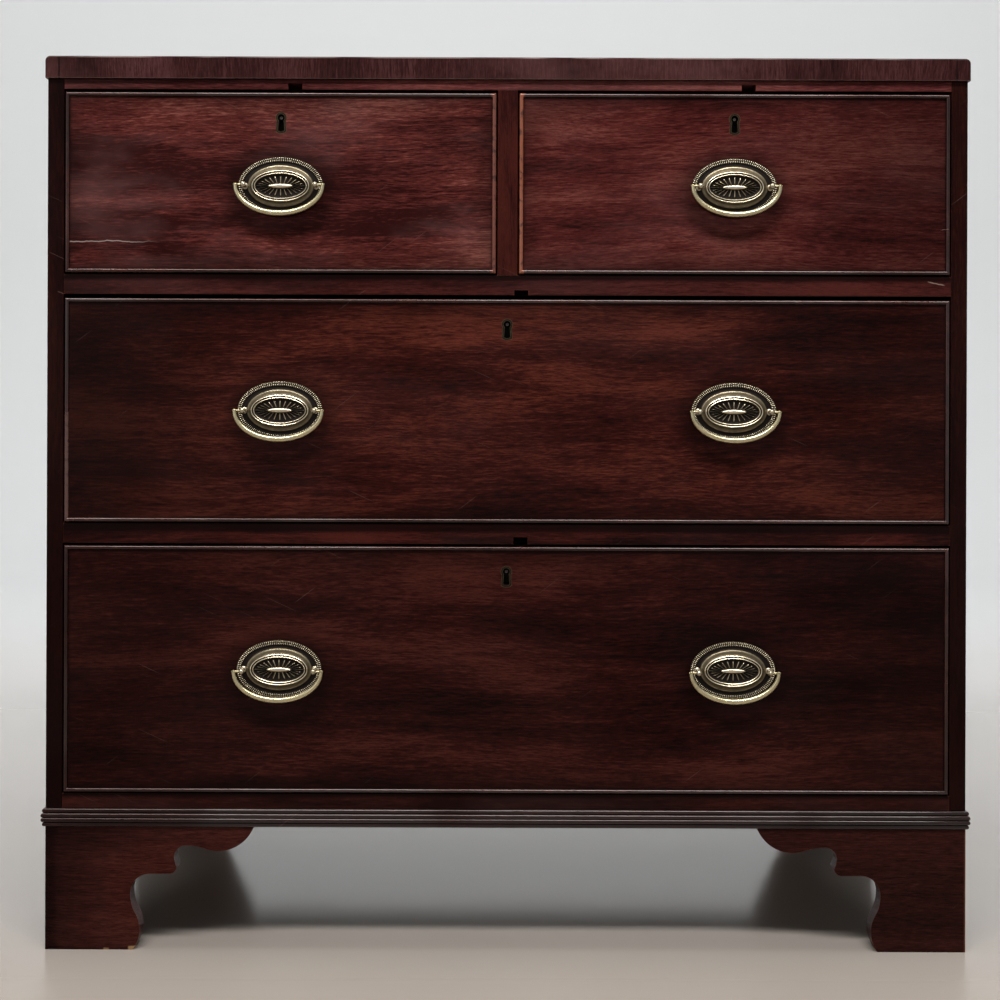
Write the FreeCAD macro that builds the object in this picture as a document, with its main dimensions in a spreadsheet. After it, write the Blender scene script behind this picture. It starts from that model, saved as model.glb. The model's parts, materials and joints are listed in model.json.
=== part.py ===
"""A George III mahogany bachelor's chest: two short drawers over two long ones, on bracket feet.

Millimetres. +Z is up, the drawer fronts face -Y, and the origin is on the floor at the middle of the
chest's outline. The driving sizes are in the sheet `dims`, and the places that follow from them are
formulas in the sheet `layout`. Every size and place of a piece is bound to those cells.
"""
import FreeCAD, Part
import os
import re
import Sketcher

Vector = FreeCAD.Vector
Rotation = FreeCAD.Rotation
X_AXIS = Vector(1, 0, 0)
Y_AXIS = Vector(0, 1, 0)
Z_AXIS = Vector(0, 0, 1)

doc = FreeCAD.newDocument("bachelors_chest")

# ---------------------------------------------------------------- sizes

DIMS = [
    # carcase
    ("case_width", 918, "over the two sides"),
    ("case_depth", 460, "front edge of the sides to the back of the back boards"),
    ("side_thickness", 16.5, "mahogany side"),
    ("back_thickness", 10, "pine back board"),
    ("back_rebate", 9, "how far a back board laps over a side"),
    ("back_board_gap", 1, "shrinkage gap between two back boards"),
    ("top_thickness", 22, "top board"),
    ("top_side_overhang", 2, "top past each side"),
    ("top_front_overhang", 3.5, "top past the front"),
    ("top_strip_width", 14, "strips round the top's front and sides"),
    ("top_end_round", 5, "rounding of the side strips' upper edge"),
    ("top_arris", 1.5, "rounding of the front edges"),
    ("tongue_width", 4.5, "tongue on a side's upper end"),
    ("tongue_height", 6, "how far that tongue goes into the top"),
    ("tongue_inset", 16, "that tongue behind the front face"),
    ("bottom_thickness", 15, "carcase bottom, and the bottom rail in front of it"),
    ("bottom_housing", 6, "how far the bottom is let into a side"),
    ("rail_thickness", 20, "upper and middle rails, and the runners behind them"),
    ("rail_depth", 55, "rails, front to back"),
    ("top_rail_thickness", 10.5, "rail under the top, and the kickers behind it"),
    ("tenon_length", 10, "rail tenon into a side"),
    ("tenon_inset", 9, "tenon behind the front face"),
    ("tenon_shoulder", 2.5, "shoulder beside a tenon"),
    ("divider_width", 20, "upright between the short drawers"),
    ("divider_tenon", 6, "height of the divider's stub tenons"),
    ("runner_width", 35, "side runner"),
    ("runner_housing", 4, "how far a runner is let into a side"),
    ("centre_runner_width", 62, "runner and kicker between the short drawers"),
    ("guide_height", 18, "guide strip on the centre runner"),
    ("dustboard_thickness", 8, "pine dustboard"),
    ("dustboard_lap", 6, "dustboard into its grooves"),
    ("stop_length", 24, "drawer stop, across the chest"),
    ("stop_width", 30, "drawer stop, front to back"),
    ("stop_height", 6, "drawer stop"),
    ("stop_inset", 70, "drawer stop in from the end of its bay"),
    ("stop_gap", 0.4, "between a stop and the drawer front"),
    ("nail_side", 2.4, "square nail"),
    ("nail_length", 28, "nail through a back board"),
    ("nail_spacing", 160, "between nails up a side"),
    ("short_bay_height", 184.5, "opening for the short drawers"),
    ("middle_bay_height", 228.5, "opening for the middle drawer"),
    ("bottom_bay_height", 249.5, "opening for the bottom drawer"),
    # base
    ("moulding_height", 18, "reeded base moulding"),
    ("moulding_width", 45, "base frame, in from the carcase face"),
    ("moulding_proud", 3.8, "crowns of the middle reeds past the carcase face"),
    ("moulding_bow", 1.1, "crowns of the outer reeds behind the middle ones"),
    ("reed_depth", 1.5, "hollow between two reeds"),
    ("foot_height", 123, "bracket foot"),
    ("foot_thickness", 18, "bracket board"),
    ("foot_length", 208, "front bracket, along the front"),
    ("foot_return", 176, "side bracket, along the side"),
    ("foot_sole", 87.5, "bracket's width on the floor"),
    ("foot_bulge", 6.5, "swell above the sole"),
    ("foot_ankle", 84.8, "bracket's narrowest width"),
    ("ankle_drop", 67, "ankle below the moulding"),
    ("step_drop", 47.3, "underside of the step below the moulding"),
    ("step_radius", 19, "hollow between ankle and step"),
    ("nose_reach", 131, "nose of the step from the corner"),
    ("nose_radius", 5.5, "nose of the step"),
    ("hollow_drop", 19, "top of the second hollow below the moulding"),
    ("hollow_radius", 12, "second hollow"),
    ("lobe_drop", 24.6, "lowest point of the outer lobe below the moulding"),
    ("foot_block", 34, "corner block behind the brackets"),
    ("foot_block_lift", 4, "corner block clear of the floor"),
    ("brace_length", 120, "rear brace of a back foot, at the top"),
    ("brace_sole", 62, "rear brace, on the floor"),
    # drawers
    ("side_gap", 1.5, "drawer front to the bay, each side"),
    ("short_head_gap", 3, "above a short drawer front"),
    ("middle_head_gap", 4, "above the middle drawer front"),
    ("bottom_head_gap", 2.2, "above the bottom drawer front"),
    ("front_lift", 1.5, "below a drawer front"),
    ("running_gap", 0.3, "drawer side above its runner"),
    ("drawer_back_gap", 14, "behind a drawer that is pushed home"),
    ("front_thickness", 20, "drawer front"),
    ("drawer_side_thickness", 9.5, "oak drawer side"),
    ("drawer_back_thickness", 9, "oak drawer back"),
    ("drawer_side_drop", 5, "side's top edge below the front's"),
    ("bottom_board_thickness", 7, "drawer bottom"),
    ("bottom_board_lift", 9, "drawer bottom above the side's lower edge"),
    ("bottom_groove", 4.5, "drawer bottom into its grooves"),
    ("bead_width", 4, "cock bead, seen from the front"),
    ("bead_depth", 6, "cock bead let into the drawer front"),
    ("bead_proud", 2.4, "cock bead past the drawer front"),
    ("tail_lap", 1.5, "wood between the bead and the dovetail sockets"),
    ("tail_share", 0.3, "half width of a tail at its neck, of the dovetail spacing"),
    ("tail_slope", 0.16, "flare of a tail, across for along"),
    # locks
    ("key_drop", 25, "key pin below the drawer front's top edge"),
    ("key_round", 3.6, "radius of the keyhole's round part"),
    ("key_neck", 2.5, "half width of the keyhole at its neck"),
    ("key_foot", 3.3, "half width of the keyhole at its foot"),
    ("key_slot", 13.9, "keyhole's foot below the key pin"),
    ("liner_wall", 2, "brass keyhole liner"),
    ("liner_depth", 4, "brass keyhole liner, into the wood"),
    ("lock_width", 62, "lock case"),
    ("lock_height", 46, "lock case"),
    ("lock_depth", 12, "lock case, front to back"),
    ("lock_plate", 1.8, "lock case walls"),
    ("key_sweep", 0.6, "lock's chamber past the keyhole's foot"),
    ("pin_radius", 1.4, "key pin"),
    ("pin_reach", 6, "key pin past the lock's face, into the keyhole"),
    ("bolt_offset", 14, "middle of the bolt to the right of the key pin"),
    ("bolt_width", 11, "lock bolt"),
    ("bolt_thickness", 5.5, "lock bolt"),
    ("bolt_height", 30, "lock bolt"),
    ("bolt_gap", 0.25, "round the bolt, and under the drawer's top edge"),
    ("bolt_travel", 8, "lift of the bolt"),
    ("mortise_gap", 1.5, "round the bolt in the rail above"),
    # handles
    ("plate_half_width", 42.5, "oval back plate"),
    ("plate_half_height", 29, "oval back plate"),
    ("plate_thickness", 1, "back plate's flat"),
    ("rim_width", 4.5, "beaded rim"),
    ("rim_height", 2.4, "beaded rim above the drawer front"),
    ("rim_chamfer", 1, "eased edges of the rim"),
    ("boss_half_width", 33, "raised oval at its foot"),
    ("boss_half_height", 21.2, "raised oval at its foot"),
    ("lip_half_width", 28.8, "raised oval at its lip"),
    ("lip_half_height", 15.4, "raised oval at its lip"),
    ("boss_height", 4.6, "lip above the drawer front"),
    ("lip_width", 2.8, "moulded lip round the sunburst"),
    ("dish_depth", 2.2, "sunburst dish below the lip"),
    ("bar_half_length", 11, "bar in the middle of the sunburst"),
    ("bar_radius", 2.2, "bar in the middle of the sunburst"),
    ("ray_count", 24, "rays of the sunburst"),
    ("ray_width", 0.9, "one ray"),
    ("ray_height", 0.7, "one ray above the dish"),
    ("post_spacing", 71, "between the two posts"),
    ("post_neck_radius", 2.1, "post between plate and ball"),
    ("ball_radius", 2.9, "ball at the end of a post"),
    ("pivot_reach", 14, "bail's pivot in front of the drawer front"),
    ("shank_radius", 2, "post's shank through the drawer front"),
    ("shank_gap", 0.2, "round the shank"),
    ("shank_end", 6, "shank past the drawer front's inner face"),
    ("nut_width", 12, "square nut"),
    ("nut_thickness", 3, "square nut"),
    ("bail_half_width", 43.2, "bail's centre line, from the middle"),
    ("bail_drop", 28.2, "bail's centre line, below the pivot"),
    ("bail_middle_radius", 3.05, "bail at the grip"),
    ("bail_end_radius", 1.9, "bail at its ends"),
    ("bail_pin_radius", 1.2, "pin turned in at each end of the bail"),
    ("bail_pin_gap", 0.06, "round a pin in its post"),
    ("bail_pin_tip", 2.2, "pin past the bail's centre line"),
    ("short_handle_drop", 3.5, "handle below the middle of a short drawer"),
]

# For each drawer: its name, its bay from left to right and from floor to head, the gap above its front,
# its handles' places from its middle, and how far they are below the middle.
DRAWERS = [
    ("left", "-inner_x", "-divider_x", "short_bay", "short_bay_top", "short_head_gap",
     ("0",), "short_handle_drop"),
    ("right", "divider_x", "inner_x", "short_bay", "short_bay_top", "short_head_gap",
     ("0",), "short_handle_drop"),
    ("middle", "-inner_x", "inner_x", "middle_bay", "middle_bay_top", "middle_head_gap",
     ("-handle_offset", "handle_offset"), "0"),
    ("bottom", "-inner_x", "inner_x", "bottom_bay", "bottom_bay_top", "bottom_head_gap",
     ("-handle_offset", "handle_offset"), "0"),
]

# How many dovetails join each corner of a drawer.
DOVETAILS = {"left": 3, "right": 3, "middle": 4, "bottom": 4}

LAYOUT = [
    ("handle_reach", "pivot_reach + max(ball_radius; bail_middle_radius)"),
    ("front_face", "handle_reach / 2 - case_depth / 2"),
    ("rear_face", "front_face + case_depth"),
    ("back_plane", "rear_face - back_thickness"),
    ("rail_back", "front_face + rail_depth"),
    ("outer_x", "case_width / 2"),
    ("inner_x", "outer_x - side_thickness"),
    ("divider_x", "divider_width / 2"),
    ("frame_top", "foot_height + moulding_height"),
    ("bottom_bay", "frame_top + bottom_thickness"),
    ("bottom_bay_top", "bottom_bay + bottom_bay_height"),
    ("middle_bay", "bottom_bay_top + rail_thickness"),
    ("middle_bay_top", "middle_bay + middle_bay_height"),
    ("short_bay", "middle_bay_top + rail_thickness"),
    ("short_bay_top", "short_bay + short_bay_height"),
    ("case_top", "short_bay_top + top_rail_thickness"),
    ("chest_top", "case_top + top_thickness"),
    ("top_edge_x", "outer_x + top_side_overhang"),
    ("top_strip_x", "top_edge_x - top_strip_width"),
    ("top_front", "front_face - top_front_overhang"),
    ("top_strip_back", "top_front + top_strip_width"),
    ("moulding_whole", "moulding_width + moulding_proud"),
    ("front_back", "front_face + front_thickness"),
    ("bead_back", "front_face + bead_depth"),
    ("drawer_end", "back_plane - drawer_back_gap"),
    ("back_front", "drawer_end - drawer_back_thickness"),
    ("tail_length", "front_thickness - bead_depth - tail_lap"),
    ("handle_offset", "(inner_x + divider_x) / 2"),
    ("lock_front", "front_back - lock_depth"),
    ("bolt_y", "front_back - lock_depth / 2"),
    ("pivot_y", "front_face - pivot_reach"),
    ("dish_floor", "boss_height - dish_depth"),
    # the bracket feet's outline
    ("ankle_up", "foot_height - ankle_drop"),
    ("step_up", "foot_height - step_drop"),
    ("step_start", "foot_ankle + step_radius"),
    ("nose_up", "step_up + nose_radius"),
    ("hollow_up", "foot_height - hollow_drop"),
    ("hollow_start", "nose_reach - nose_radius / 2"),
    ("hollow_end", "hollow_start + hollow_radius"),
    ("lobe_up", "foot_height - lobe_drop"),
]
for name, bay_left, bay_right, bay_floor, bay_head, head_gap, handles, drop in DRAWERS:
    LAYOUT += [
        (f"{name}_x_low", f"{bay_left} + side_gap"),
        (f"{name}_x_high", f"{bay_right} - side_gap"),
        (f"{name}_low", f"{bay_floor} + front_lift"),
        (f"{name}_high", f"{bay_head} - {head_gap}"),
        (f"{name}_middle", f"({name}_x_low + {name}_x_high) / 2"),
        (f"{name}_key", f"{name}_high - key_drop"),
        (f"{name}_bolt", f"{name}_middle + bolt_offset"),
        (f"{name}_handle_z", f"({name}_low + {name}_high) / 2 - {drop}"),
        (f"{name}_side_low", f"{bay_floor} + running_gap"),
        (f"{name}_side_high", f"{name}_high - drawer_side_drop"),
        (f"{name}_bottom_low", f"{name}_side_low + bottom_board_lift"),
        (f"{name}_bottom_high", f"{name}_bottom_low + bottom_board_thickness"),
    ]

DIM_NAMES = {alias for alias, number, note in DIMS}
LAYOUT_NAMES = {alias for alias, text in LAYOUT}


def formula(text):
    """The text with each name told which sheet it is in."""
    def place(match):
        word = match.group(0)
        if word in DIM_NAMES:
            return "dims." + word
        if word in LAYOUT_NAMES:
            return "layout." + word
        return word
    return re.sub(r"[a-z][a-z_]*", place, text)


sheet = doc.addObject("Spreadsheet::Sheet", "dims")
for row, (alias, number, note) in enumerate(DIMS, start=1):
    sheet.set(f"A{row}", alias)
    sheet.set(f"B{row}", str(number))
    sheet.set(f"C{row}", note)
    sheet.setAlias(f"B{row}", alias)

layout = doc.addObject("Spreadsheet::Sheet", "layout")
for row, (alias, text) in enumerate(LAYOUT, start=1):
    layout.set(f"A{row}", alias)
    layout.setAlias(f"B{row}", alias)
for row, (alias, text) in enumerate(LAYOUT, start=1):
    layout.set(f"B{row}", "=" + formula(text).replace("layout.", ""))
doc.recompute()


def value(text):
    """What a formula comes to now."""
    return float(sheet.evalExpression(formula(text)))


# ---------------------------------------------------------------- makers

PARTS = []


def bind(thing, **formulas):
    """Binds properties of an object to formulas. x, y and z stand for its place."""
    for prop, text in formulas.items():
        path = f".Placement.Base.{prop}" if prop in ("x", "y", "z") else prop
        thing.setExpression(path, formula(text))
    return thing


def board(x, y, z):
    """A box between two places on each axis."""
    box = doc.addObject("Part::Box", "board")
    return bind(
        box, x=x[0], y=y[0], z=z[0],
        Length=f"({x[1]}) - ({x[0]})", Width=f"({y[1]}) - ({y[0]})", Height=f"({z[1]}) - ({z[0]})",
    )


def rod(x, y, z, radius, length, axis):
    """A cylinder that starts at a place and runs along an axis."""
    cylinder = doc.addObject("Part::Cylinder", "rod")
    cylinder.Placement.Rotation = Rotation(Z_AXIS, axis)
    return bind(cylinder, x=x, y=y, z=z, Radius=radius, Height=length)


def ball(x, y, z, radius):
    return bind(doc.addObject("Part::Sphere", "ball"), x=x, y=y, z=z, Radius=radius)


def dovetail(x, y, middle, half_near, half_far):
    """A tail along Y: half as wide as half_near at y[0] and half_far at y[1], about the height middle."""
    wedge = doc.addObject("Part::Wedge", "dovetail")
    return bind(
        wedge,
        Xmin=x[0], Xmax=x[1], X2min=x[0], X2max=x[1], Ymin=y[0], Ymax=y[1],
        Zmin=f"{middle} - ({half_near})", Zmax=f"{middle} + ({half_near})",
        Z2min=f"{middle} - ({half_far})", Z2max=f"{middle} + ({half_far})",
    )


def together(pieces):
    """Separate solids kept as one object."""
    if len(pieces) == 1:
        return pieces[0]
    compound = doc.addObject("Part::Compound", "set")
    compound.Links = pieces
    return compound


def joined(pieces):
    """Pieces fused into one solid."""
    fusion = doc.addObject("Part::MultiFuse", "fused")
    fusion.Shapes = pieces
    fusion.Refine = True
    return fusion


def less(piece, tools):
    """A piece with each tool's volume taken away."""
    result = doc.addObject("Part::Cut", "cut")
    result.Base = piece
    result.Tool = together(tools)
    result.Refine = True
    return result


def mirrored(piece):
    """A piece's twin on the other side of the chest."""
    twin = doc.addObject("Part::Mirroring", "twin")
    twin.Source = piece
    twin.Normal = X_AXIS
    return twin


def part(name, *pieces):
    """Names a sub-part. Its file takes the name."""
    result = together(list(pieces))
    result.Label = name
    PARTS.append(result)
    return result


# ---------------------------------------------------------------- sketches
# An outline is a list of places, each a pair of formulas. Straight edges join them, unless a step is a
# pair of places: then an arc passes through the first and ends at the second.

def spot(place):
    return Vector(value(place[0]), value(place[1]), 0)


def pin_down(sketch, index, end, place):
    """Binds one point of a sketch to a pair of formulas."""
    for kind, text in zip(("DistanceX", "DistanceY"), place):
        number = sketch.addConstraint(Sketcher.Constraint(kind, -1, 1, index, end, value(text)))
        sketch.setExpression(f"Constraints[{number}]", formula(text))


def draw(sketch, outline):
    """Draws a closed outline, with every corner bound to its formulas."""
    edges = []
    here = outline[0]
    for step in outline[1:] + [outline[0]]:
        through, there = step if isinstance(step[0], tuple) else (None, step)
        if through:
            index = sketch.addGeometry(Part.Arc(spot(here), spot(through), spot(there)))
            mark = sketch.addGeometry(Part.Point(spot(through)), True)
            pin_down(sketch, mark, 1, through)
            sketch.addConstraint(Sketcher.Constraint("PointOnObject", mark, 1, index))
        else:
            index = sketch.addGeometry(Part.LineSegment(spot(here), spot(there)))
        first = 1 if sketch.getPoint(index, 1).distanceToPoint(spot(here)) < 1e-6 else 2
        pin_down(sketch, index, first, here)
        edges.append((index, first, 3 - first))
        here = there
    for (index, first, last), (following, start, end) in zip(edges, edges[1:] + edges[:1]):
        sketch.addConstraint(Sketcher.Constraint("Coincident", index, last, following, start))


def sketch_on(body, plane, outlines):
    """A sketch on one of the body's own origin planes: XY, XZ or YZ."""
    sketch = body.newObject("Sketcher::SketchObject", "outline")
    support = next(f for f in body.Origin.OriginFeatures if f.Role == plane + "_Plane")
    sketch.AttachmentSupport = [(support, "")]
    sketch.MapMode = "FlatFace"
    for outline in outlines:
        draw(sketch, outline)
    return sketch


def padded(plane, outlines, length, x="0", y="0", z="0"):
    """A body padded from outlines, towards +X, +Y or +Z, and placed."""
    body = doc.addObject("PartDesign::Body", "body")
    pad = body.newObject("PartDesign::Pad", "pad")
    pad.Profile = sketch_on(body, plane, outlines)
    pad.Reversed = plane == "XZ"
    bind(pad, Length=length)
    return bind(body, x=x, y=y, z=z)


def pocketed(body, plane, outlines):
    """Cuts outlines right through a body, both ways."""
    pocket = body.newObject("PartDesign::Pocket", "pocket")
    pocket.Profile = sketch_on(body, plane, outlines)
    pocket.SideType = "Symmetric"
    pocket.Type = "ThroughAll"
    return body


def rounded(body, radius, chosen):
    """Rounds the edges that a test on their middle and direction picks."""
    doc.recompute()
    base = body.Tip
    names = []
    for number, edge in enumerate(base.Shape.Edges, start=1):
        start, end = edge.firstVertex().Point, edge.lastVertex().Point
        if chosen((start + end) / 2, (end - start).normalize()):
            names.append(f"Edge{number}")
    fillet = body.newObject("PartDesign::Fillet", "fillet")
    fillet.Base = (base, names)
    bind(fillet, Radius=radius)
    return body


# ---------------------------------------------------------------- carcase

FRONT_TO_BACK = ("front_face", "rear_face")
BEHIND_THE_RAILS = ("rail_back", "back_plane")
TOP_LEVEL = ("short_bay_top", "case_top")
UPPER_LEVEL = ("middle_bay_top", "short_bay")
MIDDLE_LEVEL = ("bottom_bay_top", "middle_bay")
BOTTOM_LEVEL = ("frame_top", "bottom_bay")
TENON_Y = ("front_face + tenon_inset", "rail_back - tenon_inset")
BACK_BOARDS = 4
BOTTOM_BOARDS = 3


def opposite(span):
    """A span along X on the other side of the chest."""
    return (f"-({span[1]})", f"-({span[0]})")


def both_sides(x, y, z):
    return [board(x, y, z), board(opposite(x), y, z)]


def rail_tenons(level):
    """A rail's stub tenons, right and left."""
    x = ("inner_x", "inner_x + tenon_length")
    return both_sides(x, TENON_Y, (f"{level[0]} + tenon_shoulder", f"{level[1]} - tenon_shoulder"))


def divider_tenons():
    """The stub tenons below and above the upright between the short drawers."""
    x = ("-divider_x + tenon_shoulder", "divider_x - tenon_shoulder")
    return (board(x, TENON_Y, ("short_bay - divider_tenon", "short_bay")),
            board(x, TENON_Y, ("short_bay_top", "short_bay_top + divider_tenon")))


def side_tongue():
    """The tongue on the right side's upper end."""
    return board(
        ("inner_x", "inner_x + tongue_width"), ("front_face + tongue_inset", "back_plane - tongue_inset"),
        ("case_top", "case_top + tongue_height"))


def nail(x, z):
    """A square nail through a back board."""
    return board(
        (f"{x} - nail_side / 2", f"{x} + nail_side / 2"), ("rear_face - nail_length", "rear_face"),
        (f"{z} - nail_side / 2", f"{z} + nail_side / 2"))


def side_nails():
    """The nails up the right side's rebate."""
    rows = int((value("case_top") - value("frame_top")) / value("nail_spacing"))
    middle = "(frame_top + case_top) / 2"
    x = "(inner_x + (runner_housing + back_rebate) / 2)"
    return [nail(x, f"({middle} + {row - (rows - 1) / 2} * nail_spacing)") for row in range(rows)]


def bottom_nails():
    """Two nails through each back board's foot into the carcase bottom."""
    pitch = f"((inner_x + back_rebate) * 2 / {BACK_BOARDS})"
    return [nail(f"(-inner_x - back_rebate + ({i} + {share}) * {pitch})", "((frame_top + bottom_bay) / 2)")
            for i in range(BACK_BOARDS) for share in (0.3, 0.7)]


def side_panel():
    """The right side, with mortises, housings for runners and bottom, and a rebate for the back."""
    panel = board(("inner_x", "outer_x"), FRONT_TO_BACK, ("frame_top", "case_top"))
    cuts = [rail_tenons(level)[0] for level in (TOP_LEVEL, UPPER_LEVEL, MIDDLE_LEVEL)]
    housing = ("inner_x", "inner_x + runner_housing")
    cuts += [board(housing, BEHIND_THE_RAILS, level) for level in (UPPER_LEVEL, MIDDLE_LEVEL)]
    cuts.append(board(("inner_x", "inner_x + bottom_housing"), BEHIND_THE_RAILS, BOTTOM_LEVEL))
    rebate = ("inner_x", "inner_x + back_rebate")
    cuts.append(board(rebate, ("back_plane", "rear_face"), ("frame_top", "case_top")))
    return less(joined([less(panel, cuts), side_tongue()]), side_nails())


def top_board():
    core = board(("-top_strip_x", "top_strip_x"), ("top_strip_back", "rear_face"), ("case_top", "chest_top"))
    part("top_board", less(core, [side_tongue(), mirrored(side_tongue())]))


def top_edge_strips():
    """Crossgrained strips along the top's front and sides. The side strips run through to the front."""
    level = ("case_top", "chest_top")
    front = padded("YZ", [[
        ("0", "0"), ("top_strip_width", "0"),
        ("top_strip_width", "top_thickness"), ("top_arris", "top_thickness"),
        (("top_arris * (1 - sqrt(0.5))", "top_thickness - top_arris * (1 - sqrt(0.5))"),
         ("0", "top_thickness - top_arris")),
    ]], "2 * top_strip_x", x="-top_strip_x", y="top_front", z="case_top")
    side = padded("XZ", [[
        ("0", "0"), ("top_strip_width", "0"), ("top_strip_width", "top_thickness - top_end_round"),
        (("top_strip_width - top_end_round * (1 - sqrt(0.5))",
          "top_thickness - top_end_round * (1 - sqrt(0.5))"),
         ("top_strip_width - top_end_round", "top_thickness")),
        ("0", "top_thickness"),
    ]], "rear_face - top_front", x="top_strip_x", y="top_front", z="case_top")
    outer = value("top_strip_width")

    def front_arris(middle, along):
        on_front = middle.y < 1e-6 and middle.z > 1 and middle.x > 1e-6
        return on_front and (abs(along.z) < 0.99 or middle.x > outer - 1)

    rounded(side, "top_arris", front_arris)
    side = less(side, [side_tongue()])
    part("top_edge_strips", front, side, mirrored(side))


def rail(name, level, drawers, housed):
    """A front rail, mortised for the lock bolts of the drawers below it and for what is housed in it."""
    pieces = [board(("-inner_x", "inner_x"), ("front_face", "rail_back"), level)]
    tools = list(housed)
    for drawer in drawers:
        half = "(bolt_width / 2 + mortise_gap)"
        tools.append(board(
            (f"{drawer}_bolt - {half}", f"{drawer}_bolt + {half}"),
            ("front_face", "bolt_y + bolt_thickness / 2 + mortise_gap"),
            (level[0], f"{drawer}_high - bolt_gap + bolt_travel + mortise_gap")))
    part(name, less(joined(pieces + rail_tenons(level)), tools))


def dustboard(x, level):
    """A pine board lapped into the grooves of a rail and its runners."""
    middle = f"(({level[0]} + {level[1]}) / 2)"
    z = (f"{middle} - dustboard_thickness / 2", f"{middle} + dustboard_thickness / 2")
    return board(x, ("rail_back - dustboard_lap", "back_plane"), z)


def upper_dustboards():
    x = ("centre_runner_width / 2 - dustboard_lap", "inner_x - runner_width + dustboard_lap")
    return [dustboard(x, UPPER_LEVEL), dustboard(opposite(x), UPPER_LEVEL)]


def middle_dustboard():
    half = "(inner_x - runner_width + dustboard_lap)"
    return dustboard((f"-{half}", half), MIDDLE_LEVEL)


def runners_and_kickers():
    """The strips that the drawers run on, and those above the short drawers that stop them tipping."""
    housed = ("inner_x - runner_width", "inner_x + runner_housing")
    centre = ("-centre_runner_width / 2", "centre_runner_width / 2")
    upper = both_sides(housed, BEHIND_THE_RAILS, UPPER_LEVEL)
    middle = both_sides(housed, BEHIND_THE_RAILS, MIDDLE_LEVEL)
    pieces = [less(strip, upper_dustboards()) for strip in upper]
    pieces += [less(strip, [middle_dustboard()]) for strip in middle]
    flat = board(centre, BEHIND_THE_RAILS, UPPER_LEVEL)
    guide = board(("-divider_x", "divider_x"), BEHIND_THE_RAILS, ("short_bay", "short_bay + guide_height"))
    pieces.append(less(joined([flat, guide]), upper_dustboards()))
    pieces += both_sides(("inner_x - runner_width", "inner_x"), BEHIND_THE_RAILS, TOP_LEVEL)
    pieces.append(board(centre, BEHIND_THE_RAILS, TOP_LEVEL))
    part("runners_and_kickers", *pieces)


def drawer_stops():
    """Two blocks on the rail of each bay, just behind the drawer front."""
    pieces = []
    for name, bay_left, bay_right, bay_floor, *others in DRAWERS:
        y = ("front_back + stop_gap", "front_back + stop_gap + stop_width")
        z = (bay_floor, f"{bay_floor} + stop_height")
        pieces.append(board((f"{bay_left} + stop_inset", f"{bay_left} + stop_inset + stop_length"), y, z))
        pieces.append(board((f"{bay_right} - stop_inset - stop_length", f"{bay_right} - stop_inset"), y, z))
    part("drawer_stops", *pieces)


def back_boards():
    """Upright pine boards, lapped over the sides' rebates."""
    pitch = f"((inner_x + back_rebate) * 2 / {BACK_BOARDS})"
    whole = []
    for i in range(BACK_BOARDS):
        x = (f"-inner_x - back_rebate + {i} * {pitch} + back_board_gap / 2",
             f"-inner_x - back_rebate + {i + 1} * {pitch} - back_board_gap / 2")
        whole.append(board(x, ("back_plane", "rear_face"), ("frame_top", "case_top")))
    right = side_nails()
    left = [mirrored(each) for each in side_nails()]
    foot_nails = bottom_nails()
    pieces = []
    for i, plank in enumerate(whole):
        nails = foot_nails[2 * i:2 * i + 2]
        if i == 0:
            nails += left
        if i == BACK_BOARDS - 1:
            nails += right
        pieces.append(less(plank, nails))
    part("back_boards", *pieces)
    part("back_nails", *side_nails(), *[mirrored(each) for each in side_nails()], *bottom_nails())


def bottom_boards():
    """The carcase bottom behind its rail, in boards that run from side to side."""
    pitch = f"((back_plane - rail_back) / {BOTTOM_BOARDS})"
    pieces = []
    for i in range(BOTTOM_BOARDS):
        y = (f"rail_back + {i} * {pitch}", f"rail_back + {i + 1} * {pitch}")
        plank = board(("-inner_x - bottom_housing", "inner_x + bottom_housing"), y, BOTTOM_LEVEL)
        pieces.append(plank if i < BOTTOM_BOARDS - 1 else less(plank, bottom_nails()))
    part("bottom_boards", *pieces)


def carcase():
    """Everything that stands still above the base."""
    top_board()
    top_edge_strips()
    part("side_left", mirrored(side_panel()))
    part("side_right", side_panel())
    upright = board(("-divider_x", "divider_x"), ("front_face", "rail_back"), ("short_bay", "short_bay_top"))
    lower_tenon, upper_tenon = divider_tenons()
    part("drawer_divider", joined([upright, lower_tenon, upper_tenon]))
    rail("top_rail", TOP_LEVEL, ("left", "right"), [divider_tenons()[1]])
    rail("upper_rail", UPPER_LEVEL, ("middle",), [divider_tenons()[0]] + upper_dustboards())
    rail("middle_rail", MIDDLE_LEVEL, ("bottom",), [middle_dustboard()])
    part("bottom_rail", board(("-inner_x", "inner_x"), ("front_face", "rail_back"), BOTTOM_LEVEL))
    part("dustboards", *upper_dustboards(), middle_dustboard())
    runners_and_kickers()
    drawer_stops()
    back_boards()
    bottom_boards()


# ---------------------------------------------------------------- base

REEDS = 4


def reeded_section():
    """The base moulding's section, for a face towards minus: how far in from the carcase, and how high."""
    outline = [("moulding_width", "0")]
    for i in range(REEDS):
        crown = "moulding_proud" if 0 < i < REEDS - 1 else "(moulding_proud - moulding_bow)"
        hollow = f"-({crown} - reed_depth)"
        low = f"moulding_height * {i} / {REEDS}"
        high = f"moulding_height * {i + 1} / {REEDS}"
        if outline[-1] == ("moulding_width", "0") or outline[-1][1][0] != hollow:
            outline.append((hollow, low))
        outline.append(((f"-{crown}", f"moulding_height * {i + 0.5} / {REEDS}"), (hollow, high)))
    outline.append(("moulding_width", "moulding_height"))
    return outline


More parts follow.
